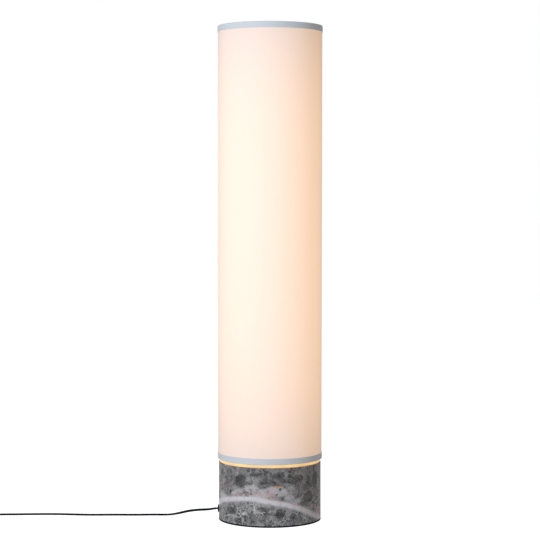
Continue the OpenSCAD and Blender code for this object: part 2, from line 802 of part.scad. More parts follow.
// Half outline of the globe, its flare and its throat, at a depth inside the glass
function glass_line(inset) = concat(
  [[glass_foot_r - inset, glass_foot], [glass_foot_r - inset, tip_h + cap_h + slip_gap],
   [throat_r - inset, tip_h + cap_h + slip_gap + inset]],
  arc([throat_r + flare_r, globe_z - flare_drop], flare_r + inset, 180, 180 - flare_turn, arc_steps),
  arc([0, globe_z], globe_r - inset, -flare_turn + 1, 90, arc_steps));

module bulb_glass(i) {
  outer = glass_line(0);
  inner = glass_line(glass_t);
  color(glow_colour) at_station(i) translate([reach, 0, tip_up]) rotate_extrude()
    polygon(concat(outer, [for (k = [len(inner) - 1:-1:0]) inner[k]]));
}

module bulb_low_glass() { bulb_glass(0); }
module bulb_mid_glass() { bulb_glass(1); }
module bulb_top_glass() { bulb_glass(2); }

module bulb_cap(i) {
  ridge_step = (cap_h - rim_h - 2) / cap_ridges;
  color(steel_colour) at_station(i) translate([reach, 0, tip_up]) rotate_extrude() difference() {
    polygon([[0, 0], [tip_r, 0], [tip_r, tip_edge], [cap_r - ridge_r, tip_h], [cap_r, tip_h + tip_edge],
      [cap_r, tip_h + cap_h], [0, tip_h + cap_h]]);
    translate([0, glass_foot - slip_gap]) square([cap_r - cap_rim_t, cap_h]);
    for (k = [0:cap_ridges - 1]) translate([cap_r + ridge_r / 2, tip_h + 2 + (k + 0.5) * ridge_step])
      circle(r = ridge_r, $fn = 24);
  }
}

module bulb_low_cap() { bulb_cap(0); }
module bulb_mid_cap() { bulb_cap(1); }
module bulb_top_cap() { bulb_cap(2); }

// ---- Shade ----

module shade_fabric() {
  color(fabric_colour) translate([0, 0, shade_z + trim_t])
    ring(fabric_r, liner_r, shade_h - 2 * trim_t, $fn = 128);
}

module shade_liner() {
  color(white_colour) translate([0, 0, shade_z + trim_t])
    ring(liner_r, inner_r, shade_h - 2 * trim_t, $fn = 128);
}

module top_trim() {
  color(trim_colour) rotate_extrude($fn = 128) {
    translate([fabric_r, shade_top - trim_h]) square([trim_t, trim_h]);
    translate([wire_ring_r - wire_r, shade_top - trim_t]) square([shade_r - wire_ring_r + wire_r, trim_t]);
  }
}

module bottom_trim() {
  color(trim_colour) rotate_extrude($fn = 128) {
    translate([fabric_r, shade_z]) square([trim_t, trim_h]);
    translate([inner_r, shade_z]) square([shade_r - inner_r, trim_t]);
  }
}

// Wire ring at the top of the shade, with three arms down to a hub on the stem
module top_carrier() {
  foot = [hub_r - wire_r, 0, stem_top + hub_t / 2];
  head = [wire_ring_r, 0, wire_ring_z];
  rise = head - foot;
  color(white_colour) {
    rotate_extrude($fn = 128) translate([wire_ring_r, wire_ring_z]) circle(r = wire_r, $fn = 32);
    difference() {
      union() {
        translate([0, 0, stem_top]) cylinder(r = hub_r, h = hub_t);
        for (a = arm_angles) rotate([0, 0, a]) translate(foot)
          rotate([0, atan2(rise.x, rise.z), 0]) cylinder(r = wire_r * arm_sink, h = norm(rise));
      }
      translate([0, 0, stem_top - over]) cylinder(r = hub_hole_r, h = hub_t + 2 * over);
    }
  }
}

module bottom_ring() {
  color(steel_colour) translate([0, 0, shade_z]) ring(inner_r, ring_in_r, ring_t, $fn = 128);
}

module finial() {
  color(brass_colour) translate([0, 0, finial_z]) difference() {
    union() {
      cylinder(r = finial_d / 2, h = finial_h - finial_dome);
      translate([0, 0, finial_h - finial_dome])
        cylinder(r1 = finial_d / 2, r2 = finial_d / 2 - finial_dome, h = finial_dome);
    }
    translate([0, 0, -over]) cylinder(r = nipple_r + thread_gap, h = finial_bore_h + over);
    for (k = [0:knurls - 1]) rotate([0, 0, k * 360 / knurls])
      translate([finial_d / 2 + knurl_r / 3, 0, -over])
        cylinder(r = knurl_r, h = finial_h + 2 * over, $fn = 16);
  }
}

// ---- Cord ----

module cord_to_switch() {
  color(black_colour) tube(route_to_switch, flat_section);
}

module cord_from_switch() {
  color(black_colour) tube([for (p = lead_in) lead_in_start + p], flat_section, lead_in_roll);
}

module cord_coil() {
  color(black_colour) tube(coil_path, coil_section, [for (p = coil_path) 90]);
}

module cord_to_plug() {
  color(black_colour) tube(route_to_plug, flat_section, route_to_plug_roll);
}

// Straps round the bundle of loops, on opposite sides of the coil
module coil_ties() {
  low = coil_core - cord_t / 2 - 2 * loop_gap;
  high = coil_r + cord_t / 2 + loop_gap;
  top = coil_z + coil_climb + cord_w / 2 + loop_gap;
  color(black_colour) translate(coil_centre) for (a = [0, 180]) rotate([0, 0, a]) difference() {
    translate([low - tie_t, -tie_w / 2, 0]) cube([high - low + 2 * tie_t, tie_w, top + tie_t]);
    translate([low, -tie_w / 2 - over, tie_t - slip_gap])
      cube([high - low, tie_w + 2 * over, top - tie_t + slip_gap]);
  }
}

// ---- Foot switch ----

module at_switch() {
  translate([switch_x, switch_y, 0]) children();
}

module sleeve_places() {
  for (a = [0, 180]) rotate([0, 0, a]) translate([0, 0, sleeve_z]) children();
}

module switch_sleeves() {
  color(black_colour) at_switch() sleeve_places() {
    translate([sleeve_in, 0, 0]) along_x() cylinder(r = sleeve_collar_r, h = sleeve_collar_t);
    translate([sleeve_in, 0, 0]) along_x() cylinder(r = sleeve_r1, h = switch_r - sleeve_in + over);
    translate([switch_r, 0, 0]) along_x() cylinder(r1 = sleeve_r1, r2 = sleeve_r2, h = sleeve_l);
  }
}

module switch_base() {
  color(black_colour) at_switch() difference() {
    translate([0, 0, tray_z]) cylinder(r = tray_r, h = tray_t);
    sleeve_places() translate([sleeve_in - notch_gap, 0, 0]) along_x()
      cylinder(r = sleeve_collar_r + notch_gap, h = switch_r);
    for (s = [-1, 1]) translate([0, s * post_at, tray_z - over]) {
      cylinder(r = switch_screw_r + bush_gap, h = tray_t + 2 * over);
      cylinder(r = switch_head_r + bush_gap, h = over + switch_head_h);
    }
  }
}

module dome(inset) {
  rotate_extrude() intersection() {
    translate([0, skirt_z - over]) square([switch_r - inset, switch_h - inset - skirt_z + over]);
    union() {
      square([switch_r - inset, dome_z]);
      square([dome_x, switch_h - inset]);
      translate([dome_x, dome_z]) circle(r = dome_r - inset, $fn = 96);
    }
  }
}

module switch_cover() {
  color(black_colour) at_switch() difference() {
    union() {
      difference() {
        dome(0);
        dome(switch_wall);
      }
      intersection() {
        dome(switch_wall / 2);
        for (s = [-1, 1]) translate([0, s * post_at, tray_top]) cylinder(r = post_r, h = switch_h);
      }
    }
    translate([0, 0, -over]) cylinder(r = switch_r + over, h = skirt_z + over);
    translate([0, 0, dome_z]) cylinder(r = button_hole_r, h = switch_h);
    for (s = [-1, 1]) translate([0, s * post_at, tray_top - over])
      cylinder(r = post_bore_r, h = switch_screw_l - tray_t + over);
    sleeve_places() translate([sleeve_in, 0, 0]) along_x() cylinder(r = sleeve_r1 + notch_gap, h = switch_r);
    sleeve_places() translate([sleeve_in, -sleeve_r1 - notch_gap, -sleeve_z])
      cube([switch_r, 2 * (sleeve_r1 + notch_gap), sleeve_z]);
  }
}

module switch_button() {
  color(black_colour) at_switch() {
    difference() {
      union() {
        translate([0, 0, button_z]) cylinder(r = button_r, h = button_top - button_crown - button_z);
        translate([0, 0, lip_z]) cylinder(r = lip_r, h = lip_t);
        translate([0, 0, button_top - button_crown])
          cylinder(r1 = button_r, r2 = button_r - button_crown, h = button_crown);
      }
      translate([0, 0, button_z - over]) cylinder(r = button_cup_r, h = button_roof - button_z + over);
    }
    translate([0, 0, button_z]) cylinder(r = plunger_r, h = button_roof - button_z + over);
  }
}

module button_spring() {
  low = block_top + spring_wire / 2;
  high = button_roof - spring_wire / 2 - slip_gap;
  count = spring_curls * curl_rings;
  path = [for (i = [0:count]) let (a = i * 360 / curl_rings)
    [spring_r * cos(a), spring_r * sin(a), low + (high - low) * i / count]];
  color(steel_colour) at_switch()
    tube(path, [for (k = [0:5]) spring_wire / 2 * [cos(60 * k), sin(60 * k)]]);
}

module switch_block() {
  color(white_colour) at_switch() translate([-switch_block_size.x / 2, -switch_block_size.y / 2, tray_top])
    cube(switch_block_size);
}

module switch_leads() {
  from = switch_block_size.x / 2;
  color(brown_colour) at_switch() sleeve_places() for (s = [-1, 1])
    translate([from, s * cord_w / 4, switch_lead_up]) along_x()
      cylinder(r = switch_lead_r, h = sleeve_in - from, $fn = 24);
}

module switch_screws() {
  color(steel_colour) at_switch() for (s = [-1, 1]) translate([0, s * post_at, tray_z]) {
    cylinder(r = switch_screw_r, h = switch_screw_l);
    cylinder(r = switch_head_r, h = switch_head_h);
  }
}

module switch_feet() {
  color(grey_colour) at_switch() for (a = [45:90:315]) rotate([0, 0, a])
    translate([foot_at, 0, 0]) cylinder(r = foot_r, h = foot_t);
}

// ---- Plug ----

module at_plug() {
  translate([plug_end.x, plug_end.y, plug_z]) rotate([0, 0, 180]) children();
}

module plug_body() {
  back = relief_l;
  shoulder = back + plug_l - plug_flat;
  front = back + plug_l;
  color(black_colour) at_plug() difference() {
    union() {
      intersection() {
        translate([0, 0, -plug_t]) linear_extrude(height = 2 * plug_t)
          polygon([[back, -plug_back_w / 2], [shoulder, -plug_w / 2], [front, -plug_w / 2],
            [front, plug_w / 2], [shoulder, plug_w / 2], [back, plug_back_w / 2]]);
        rotate([90, 0, 0]) translate([0, 0, -plug_w]) linear_extrude(height = 2 * plug_w)
          polygon([[back, -plug_back_t / 2], [shoulder, -plug_t / 2], [front, -plug_t / 2],
            [front, plug_t / 2], [shoulder, plug_t / 2], [back, plug_back_t / 2]]);
      }
      along_x() difference() {
        cylinder(r1 = relief_r2, r2 = relief_r1, h = relief_l + over);
        for (k = [0:relief_ribs - 1]) translate([0, 0, rib_start + k * rib_step])
          ring(relief_r1 + over, relief_r2 - rib_depth + k * rib_taper, rib_w);
      }
    }
    for (s = [-1, 1]) translate([front - pin_root, s * pin_gap / 2, 0]) along_x()
      cylinder(r = pin_root_r + thread_gap, h = pin_root + over);
  }
}

module plug_pins() {
  front = relief_l + plug_l;
  color(brass_colour) at_plug() for (s = [-1, 1])
    translate([front, s * pin_gap / 2, 0]) along_x() {
      translate([0, 0, slip_gap - pin_root]) cylinder(r = pin_root_r, h = pin_root);
      cylinder(r = pin_d / 2, h = pin_l - pin_d / 2);
      translate([0, 0, pin_l - pin_d / 2]) sphere(r = pin_d / 2, $fn = 48);
    }
}

stone_base();
base_pad();
cover_plate();
cover_screws();
screw_inserts();
clamp_washer();
clamp_nut();
stem_nipple();
cord_gland();
cord_inside();
cord_clamp();
terminal_block();
fixing_screws();
base_leads();
riser_leads();
seat_ring();
stem_foot();
stem_tube();
top_nipple();
bracket_low();
bracket_mid();
bracket_top();
holder_low();
holder_mid();
holder_top();
socket_low();
socket_mid();
socket_top();
holder_nuts();
collar_screws();
holder_leads();
bulb_low_glass();
bulb_mid_glass();
bulb_top_glass();
bulb_low_cap();
bulb_mid_cap();
bulb_top_cap();
shade_fabric();
shade_liner();
top_trim();
bottom_trim();
top_carrier();
bottom_ring();
finial();
cord_to_switch();
switch_sleeves();
switch_base();
switch_cover();
switch_button();
button_spring();
switch_block();
switch_leads();
switch_screws();
switch_feet();
cord_from_switch();
cord_coil();
cord_to_plug();
coil_ties();
plug_body();
plug_pins();
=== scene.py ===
# %% [markdown]
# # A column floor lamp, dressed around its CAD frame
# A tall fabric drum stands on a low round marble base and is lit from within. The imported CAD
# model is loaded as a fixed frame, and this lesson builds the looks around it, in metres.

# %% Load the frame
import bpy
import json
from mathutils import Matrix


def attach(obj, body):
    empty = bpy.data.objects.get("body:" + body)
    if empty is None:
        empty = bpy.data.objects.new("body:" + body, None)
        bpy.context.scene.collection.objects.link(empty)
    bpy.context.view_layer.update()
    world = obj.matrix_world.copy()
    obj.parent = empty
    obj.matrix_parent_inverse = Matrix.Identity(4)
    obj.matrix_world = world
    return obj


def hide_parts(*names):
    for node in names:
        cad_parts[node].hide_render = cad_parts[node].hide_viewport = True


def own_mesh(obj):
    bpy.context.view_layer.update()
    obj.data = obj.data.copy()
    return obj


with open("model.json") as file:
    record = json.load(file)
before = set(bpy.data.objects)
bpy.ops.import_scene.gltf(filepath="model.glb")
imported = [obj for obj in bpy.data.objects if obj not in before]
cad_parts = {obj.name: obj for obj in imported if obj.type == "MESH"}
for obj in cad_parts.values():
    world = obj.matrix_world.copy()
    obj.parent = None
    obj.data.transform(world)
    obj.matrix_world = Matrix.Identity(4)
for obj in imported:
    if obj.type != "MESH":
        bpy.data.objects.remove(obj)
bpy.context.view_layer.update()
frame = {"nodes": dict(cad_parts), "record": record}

import json
import math
import bmesh
import bpy
from mathutils import Matrix, Vector

nodes = frame["nodes"]

# %% [markdown]
# ## The camera
# The photograph was taken with a long lens from 2.76 m away, a little above the lamp's middle
# and aimed slightly down. A long lens keeps the drum's sides parallel. The place, tilt and focal
# length come from fitting the lamp's edges. No shift is needed.

# %% Camera
CAMERA_AT = (0.00005, -2.7602, 0.5176)
CAMERA_DOWN = math.radians(2.315)
CAMERA_ROLL = math.radians(-0.045)
CAMERA_LENS = 113.36
SENSOR_WIDE = 36

scene = bpy.context.scene


def placed(name, data):
    """A new object in the scene."""
    thing = bpy.data.objects.new(name, data)
    scene.collection.objects.link(thing)
    return thing


camera = placed("camera", bpy.data.cameras.new("camera"))
camera.data.lens = CAMERA_LENS
camera.data.sensor_width = SENSOR_WIDE
camera.location = CAMERA_AT
camera.rotation_euler = (math.pi / 2 - CAMERA_DOWN, CAMERA_ROLL, 0)
scene.camera = camera
scene.view_settings.view_transform = "Standard"
print("camera", CAMERA_AT, "lens", CAMERA_LENS)

# %% [markdown]
# ## Tools for meshes
# Every piece is made from points and faces in code. One helper turns them into an object, one
# turns an outline about the lamp's axis, as a lathe does, and one sweeps a section along a path.

# %% Mesh helpers
SMOOTH_ANGLE = math.radians(40)
CORNER_STEP = 15


def piece(name, points, faces, body, slot, smooth_angle=SMOOTH_ANGLE):
    """A mesh object that rides on a body. The slot argument is not used."""
    mesh = bpy.data.meshes.new(name)
    mesh.from_pydata([tuple(p) for p in points], [], faces)
    mesh.validate()
    shape = bmesh.new()
    shape.from_mesh(mesh)
    bmesh.ops.recalc_face_normals(shape, faces=shape.faces)
    for edge in shape.edges:
        if len(edge.link_faces) == 2:
            edge.smooth = edge.calc_face_angle(math.pi) < smooth_angle
    for face in shape.faces:
        face.smooth = True
    shape.to_mesh(mesh)
    shape.free()
    thing = placed(name, mesh)
    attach(thing, body)
    return thing


def arc(x, y, radius, turns):
    """Places on a circle about x and y, one for each turn in degrees."""
    return [(x + radius * math.cos(t), y + radius * math.sin(t)) for t in map(math.radians, turns)]


def bands(rings, size, loop=False):
    """Quads that join each ring of points to the next, and with loop the last ring to the first."""
    rows = [[i % rings * size + k % size for k in range(size + 1)] for i in range(rings + loop)]
    return [(a[k], a[k + 1], b[k + 1], b[k]) for a, b in zip(rows, rows[1:]) for k in range(size)]


def turned(outline, steps, bend=None):
    """Points and faces of a closed outline of (radius, height) turned about the lamp's axis."""
    points = []
    for i in range(steps):
        turn = 2 * math.pi * i / steps
        for r, z in outline:
            if bend:
                r, z = bend(turn, r, z)
            points.append((r * math.cos(turn), r * math.sin(turn), z))
    return points, [(a, d, c, b) for a, b, c, d in bands(steps, len(outline), loop=True)]


def swept(path, section, rolls=None):
    """Points and faces of a section swept along a path, turned about it by each roll."""
    size, last = len(section), len(path) - 1
    points = []
    for i, place in enumerate(path):
        forward = (path[min(i + 1, last)] - path[max(i - 1, 0)]).normalized()
        across = Vector((0, 0, 1)).cross(forward).normalized()
        up = forward.cross(across)
        roll = rolls[i] if rolls else 0
        a = across * math.cos(roll) + up * math.sin(roll)
        b = up * math.cos(roll) - across * math.sin(roll)
        points += [place + a * x + b * y for x, y in section]
    ends = [tuple(range(size))[::-1], tuple(range(last * size, (last + 1) * size))]
    return points, bands(last + 1, size) + ends


def rounded(points, per_span):
    """A smooth curve through the points, and the share of the way at each new point."""
    pts = [Vector(p) for p in points]
    curve, share = [], []
    for i in range(len(pts) - 1):
        p0, p1, p2 = pts[max(i - 1, 0)], pts[i], pts[i + 1]
        p3 = pts[min(i + 2, len(pts) - 1)]
        for k in range(per_span):
            t = k / per_span
            curve.append(0.5 * (2 * p1 + (p2 - p0) * t + (2 * p0 - 5 * p1 + 4 * p2 - p3) * t ** 2
                                + (3 * p1 - p0 - 3 * p2 + p3) * t ** 3))
            share.append(i + t)
    return curve + [pts[-1]], share + [len(pts) - 1]


def length_of(path):
    return sum((b - a).length for a, b in zip(path, path[1:]))


print("helpers ready")

# %% [markdown]
# ## The cord
# The real cord is a flat black two-core lamp cord, 5 mm wide and 3 mm thick, with a shallow
# groove between its cores. It leaves the bush in the stone, twists a little as it drops to the
# floor and runs to a foot switch 0.45 m away. From there 1.6 m more runs to the plug, most of it
# wound into a tied coil of two layers, outside the picture. The section isn't round, so the cord
# is a swept mesh. The routes repeat the CAD's points.

# %% Cord values and routes
# Places on a route are in millimetres, and rolls are in degrees.
MM = 0.001
CORD_WIDE = 5 * MM
CORD_THICK = 3 * MM
CORD_GROOVE = 0.35 * MM
CREST_SHARE = (0.45, 0.97)
DROP_TO_FLOOR = [
    (-85, 0, 16.5), (-91, 0, 16), (-99, 0, 14.8), (-107, 0.6, 14.2), (-115, 2.4, 13.5),
    (-125, 5.8, 12), (-135, 10, 9.8), (-145, 14.6, 6.7), (-155, 18.8, 3.9), (-165, 22, 2.1),
    (-176, 23.8, 1.5), (-188, 24.2, 1.5)]
FLOOR_STEP = 14
FLOOR_RUN = [23.8, 22.8, 22.4, 22.8, 23, 22.6, 22, 22.2, 23.4, 25.2, 26.8, 27.8, 28, 27.6, 26.8, 26,
             25.2, 24.6, 24.2, 24]
RISE_TO_SWITCH = [
    (-480, 24, 1.7), (-492, 24, 2.8), (-503, 24, 4.4), (-513, 24, 5.3), (-521, 24, 5.5),
    (-528, 24, 5.5)]
TO_SWITCH = (DROP_TO_FLOOR + [(-200 - i * FLOOR_STEP, y, 1.5) for i, y in enumerate(FLOOR_RUN)]
             + RISE_TO_SWITCH)
TO_SWITCH_ROLL = [8, 24, 32, 34, 34, 34, 33, 30, 22, 10] + [0] * 28
SWITCH_END = Vector((-636, 24, 0))
LEAD_IN = [(0, 0, 5.5), (-8, 0, 5.4), (-18, 0, 4.9), (-28, 0, 4), (-36, 0, 3.5), (-44, 0, 3.3)]
LEAD_IN_ROLL = [0, 0, 25, 65, 90, 90]
ROUTE_TO_PLUG = [
    (-680, -48, 8.8), (-672, -48, 8.7), (-662, -48, 8.2), (-650, -48, 6.8), (-639, -48, 5),
    (-629, -48, 3.4), (-620, -48, 2.7), (-609.5, -50.8, 2.5), (-601.8, -58.5, 2.5),
    (-599, -69, 2.5), (-601.8, -79.5, 2.5), (-609.5, -87.2, 2.6), (-620, -90, 3), (-627, -90, 3.8),
    (-633, -90, 5.2), (-639, -90, 6.4), (-644, -90, 6.8)]
ROUTE_TO_PLUG_ROLL = [90] * 13 + [70, 35, 8, 0]
COIL_CENTRE = Vector((-685, -12, 0))
COIL_TURNS = 7.5
COIL_STEP = 3.45
COIL_OUTER = 36
COIL_LOW = 3.3
COIL_CLIMB = 5.45
COIL_RINGS = 48
COIL_INNER = COIL_OUTER - COIL_STEP * COIL_TURNS / 2
COIL_CORE = COIL_INNER - COIL_STEP / 4


def eased(x):
    """A smooth step from 0 to 1."""
    x = min(max(x, 0), 1)
    return x * x * (3 - 2 * x)


def coil_place(u):
    """Where the coil is, in millimetres, a number of turns u before or after its middle."""
    radius = COIL_INNER + COIL_STEP * abs(u)
    if abs(u) < 0.5:
        middle = COIL_INNER + COIL_STEP / 2
        radius = COIL_CORE + (middle - COIL_CORE) * eased((abs(u) - 0.25) / 0.25)
    turn = math.pi / 2 + 2 * math.pi * (u + COIL_TURNS / 2)
    height = COIL_LOW + COIL_CLIMB * eased(2 * u + 0.5)
    return COIL_CENTRE + Vector((radius * math.cos(turn), radius * math.sin(turn), height))


coil = [coil_place(i / COIL_RINGS - COIL_TURNS / 2)
        for i in range(round(COIL_RINGS * COIL_TURNS) + 1)]
print("coil", round(length_of(coil)), "mm in", COIL_TURNS, "turns")


# %% Cord meshes
def cord_section():
    """Half rounds at both edges and a shallow groove along the middle of both faces."""
    flat, r = CORD_WIDE / 2 - CORD_THICK / 2, CORD_THICK / 2
    right = arc(flat, 0, r, range(-90, 91, 30))
    crest_x, crest_y = flat * CREST_SHARE[0], r * CREST_SHARE[1]
    top = [(crest_x, crest_y), (0, r - CORD_GROOVE), (-crest_x, crest_y)]
    left = [(-x, -y) for x, y in right]
    return right + top + left + [(-x, -y) for x, y in top]


def rolls_at(rolls, share):
    """Roll angles in radians, straight between those given in degrees."""
    spans = [(s, min(int(s), len(rolls) - 2)) for s in share]
    return [math.radians(rolls[i] + (rolls[i + 1] - rolls[i]) * (s - i)) for s, i in spans]


path_to_switch, switch_share = rounded([Vector(p) * MM for p in TO_SWITCH], per_span=4)
switch_rolls = rolls_at(TO_SWITCH_ROLL, switch_share)
cord_to_foot = piece("cord_to_foot_switch", *swept(path_to_switch, cord_section(), switch_rolls),
                     "lamp", "cord_black")
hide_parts("cord_to_switch")

lead_in, lead_in_share = rounded([(SWITCH_END + Vector(p)) * MM for p in LEAD_IN], per_span=5)
lead_out, lead_out_share = rounded([Vector(p) * MM for p in ROUTE_TO_PLUG], per_span=5)
wound = [p * MM for p in coil]
path_to_plug = lead_in + wound + lead_out
plug_rolls = (rolls_at(LEAD_IN_ROLL, lead_in_share) + [math.pi / 2] * len(wound)
              + rolls_at(ROUTE_TO_PLUG_ROLL, lead_out_share))
cord_to_plug = piece("cord_to_plug_end", *swept(path_to_plug, cord_section(), plug_rolls),
                     "lamp", "cord_black")
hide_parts("cord_from_switch", "cord_coil", "cord_to_plug")
print("cords", round(length_of(path_to_switch), 3), "m and", round(length_of(path_to_plug), 3), "m")

# %% [markdown]
# The two straps that hold the coil are hook-and-loop tape, soft and thin. Each is a closed band
# with rounded corners that goes round the bundle.

# %% Coil ties
TIE_WIDE = 8 * MM
TIE_THICK = 0.8 * MM
TIE_ROUND = 2.2 * MM
TIE_PLAY_IN = 0.9 * MM
TIE_PLAY_OUT = 0.45 * MM
TIE_EDGE_SHARE = 0.6
tie_low = COIL_CORE * MM - CORD_THICK / 2 - TIE_PLAY_IN - TIE_THICK / 2
tie_high = COIL_OUTER * MM + CORD_THICK / 2 + TIE_PLAY_OUT + TIE_THICK / 2
tie_top = (COIL_LOW + COIL_CLIMB) * MM + CORD_WIDE / 2 + TIE_PLAY_OUT + TIE_THICK / 2


def tie_band(turn):
    """A closed band about the bundle, on the side of the coil that turn points to."""
    line = []
    corners = [(tie_high, TIE_THICK / 2, -90), (tie_high, tie_top, 0),
               (tie_low, tie_top, 90), (tie_low, TIE_THICK / 2, 180)]
    for x, z, start in corners:
        cx = x - TIE_ROUND if x == tie_high else x + TIE_ROUND
        cz = z - TIE_ROUND if z == tie_top else z + TIE_ROUND
        line += arc(cx, cz, TIE_ROUND, range(start, start + 91, CORNER_STEP))
    spin = Matrix.Rotation(turn, 4, "Z")
    half, edge = TIE_WIDE / 2, TIE_THICK / 2
    low = edge * TIE_EDGE_SHARE
    ring = [(-half, -low), (-half, low), (-half + edge, edge), (half - edge, edge),
            (half, low), (half, -low), (half - edge, -edge), (-half + edge, -edge)]
    points = []
    for (bx, bz), (x, z), (ax, az) in zip(line[-1:] + line, line, line[1:] + line[:1]):
        out = Vector((az - bz, 0, bx - ax)).normalized()
        points += [COIL_CENTRE * MM + spin @ (Vector((x, y, z)) + out * o) for y, o in ring]
    return points, bands(len(line), len(ring), loop=True)


def joined(parts):
    """Several sets of points and faces as one."""
    points, faces = [], []
    for some, tied in parts:
        faces += [tuple(k + len(points) for k in face) for face in tied]
        points += some
    return points, faces


ties = piece("coil_straps", *joined([tie_band(0), tie_band(math.pi)]), "lamp", "tie_black")
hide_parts("coil_ties")
print("straps", round(tie_top / MM, 1), "mm high")

# %% [markdown]
# Inside the foot switch a steel spring lifts the button. It is a round wire swept along a helix.
# A real spring closes up as it is pressed.

# %% Button spring
SWITCH_CENTRE = (-582 * MM, 24 * MM)
SPRING_FOOT = 9.5 * MM
SPRING_TALL = 11.4 * MM
SPRING_RADIUS = 5.5 * MM
SPRING_WIRE = 1.2 * MM
SPRING_CURLS = 5
SPRING_RINGS = 24

spring_steps = range(SPRING_CURLS * SPRING_RINGS + 1)
climb = (SPRING_TALL - SPRING_WIRE) / (SPRING_CURLS * SPRING_RINGS)
spots = arc(*SWITCH_CENTRE, SPRING_RADIUS, [360 * i / SPRING_RINGS for i in spring_steps])
helix = [Vector((*spots[i], SPRING_FOOT + SPRING_WIRE / 2 + climb * i)) for i in spring_steps]
wire = arc(0, 0, SPRING_WIRE / 2, range(0, 360, 45))
spring = piece("button_coil_spring", *swept(helix, wire), "lamp", "steel")
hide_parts("button_spring")
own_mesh(spring)
print("spring", round(length_of(helix) / MM), "mm of wire")

# %% [markdown]
# A moulded plug has soft edges. The CAD solid has the right planes, so its mesh is copied, its flat
# triangles are joined again, and the edges of the block are bevelled. The edges at the pins and at
# the cord's sleeve stay sharp. Sorted faces give the same mesh each run.

# %% Plug shell
PLUG_Y, PLUG_Z = -90 * MM, 6.8 * MM
PLUG_BACK = -669 * MM
PIN_APART = 18.6 * MM
PLUG_EDGE = 1.1 * MM
BACK_ROOM = 0.1 * MM
PIN_ROOM = 2.5 * MM
SLEEVE_ROOM = 5.5 * MM
SHARP_ANGLE = math.radians(12)
FLAT_ANGLE = math.radians(0.5)
SAME_PLACE = 0.001 * MM
SHELL_SMOOTH_ANGLE = math.radians(14)


def is_block_edge(edge):
    """True for a sharp edge of the plug's block that is away from the pins and the sleeve."""
    if len(edge.link_faces) != 2 or edge.calc_face_angle(0) < SHARP_ANGLE:
        return False
    ends = [vert.co for vert in edge.verts]
    if max(end.x for end in ends) > PLUG_BACK + BACK_ROOM:
        return False
    for beside, room in ((-PIN_APART / 2, PIN_ROOM), (PIN_APART / 2, PIN_ROOM), (0, SLEEVE_ROOM)):
        if all(math.hypot(end.y - PLUG_Y - beside, end.z - PLUG_Z) < room for end in ends):
            return False
    return True


shape = bmesh.new()
shape.from_mesh(nodes["plug_body"].data)
shape.transform(nodes["plug_body"].matrix_world)
bmesh.ops.remove_doubles(shape, verts=shape.verts, dist=SAME_PLACE)
bmesh.ops.dissolve_limit(shape, angle_limit=FLAT_ANGLE, verts=shape.verts, edges=shape.edges)
block_edges = [edge for edge in shape.edges if is_block_edge(edge)]
bmesh.ops.bevel(shape, geom=block_edges, offset=PLUG_EDGE, segments=4, profile=0.5, affect="EDGES")
bmesh.ops.triangulate(shape, faces=[face for face in shape.faces if len(face.verts) > 4])
shape.verts.index_update()
plug_shell = piece("plug_shell", [vert.co for vert in shape.verts],
                   sorted(tuple(vert.index for vert in face.verts) for face in shape.faces),
                   "lamp", "black_plastic", SHELL_SMOOTH_ANGLE)
shape.free()
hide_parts("plug_body")
print("plug shell", len(block_edges), "edges softened")

# %% [markdown]
# The first cord goes from the lamp to the foot switch, the second from the switch to the plug.

print("two cords made")

# %% [markdown]
# ## Tools for materials
# A material is a small graph of nodes. One helper adds a node and fills or links its inputs, and
# one makes a material with a Principled shader. Short ones do sums, noise and mixing. Effects that
# several finishes share are node groups with named sockets.


# %% Material helpers
def feed(tree, node, inputs):
    """Gives each input of a node its value, or links it to a socket."""
    for key, value in inputs.items():
        if isinstance(value, bpy.types.NodeSocket):
            tree.links.new(value, node.inputs[key])
        else:
            node.inputs[key].default_value = value
    return node


def add(tree, kind, inputs=None, **settings):
    """A new node with its settings and inputs."""
    node = tree.nodes.new("ShaderNode" + kind)
    for key, value in settings.items():
        setattr(node, key, value)
    return feed(tree, node, inputs or {})


def calc(tree, operation, a, b=0.0, c=0.0, clamp=False):
    """The result of a sum on one, two or three values."""
    return add(tree, "Math", {0: a, 1: b, 2: c}, operation=operation, use_clamp=clamp).outputs[0]


def times(tree, a, b):
    return calc(tree, "MULTIPLY", a, b)


def away(tree, a, b):
    """How far two values are apart."""
    return calc(tree, "ABSOLUTE", calc(tree, "SUBTRACT", a, b))


def highest(tree, values):
    """The highest of several values, or 0."""
    found = 0.0
    for value in values:
        found = calc(tree, "MAXIMUM", value, found)
    return found


def vec(tree, operation, *inputs):
    """The result of a sum on vectors: a vector, or a number where it measures something."""
    slots = (0, "Scale") if operation == "SCALE" else (0, 1)
    outputs = add(tree, "VectorMath", dict(zip(slots, inputs)), operation=operation).outputs
    return outputs["Value" if operation in ("LENGTH", "DISTANCE", "DOT_PRODUCT") else "Vector"]


def axes(tree, place):
    return add(tree, "SeparateXYZ", {0: place}).outputs


def mixed(tree, factor, a, b, blend="MIX"):
    """Colour b laid over colour a. Each is a socket, or red, green and blue."""
    a, b = (c if isinstance(c, bpy.types.NodeSocket) else (*c, 1) for c in (a, b))
    return add(tree, "Mix", {0: factor, 6: a, 7: b}, data_type="RGBA", blend_type=blend).outputs[2]


def ranged(tree, value, low, high, to_low=0.0, to_high=1.0):
    """A value eased from the range low to high into another one, and held beyond its ends."""
    return add(tree, "MapRange", {"Value": value, "From Min": low, "From Max": high,
                                  "To Min": to_low, "To Max": to_high},
               interpolation_type="SMOOTHSTEP").outputs[0]


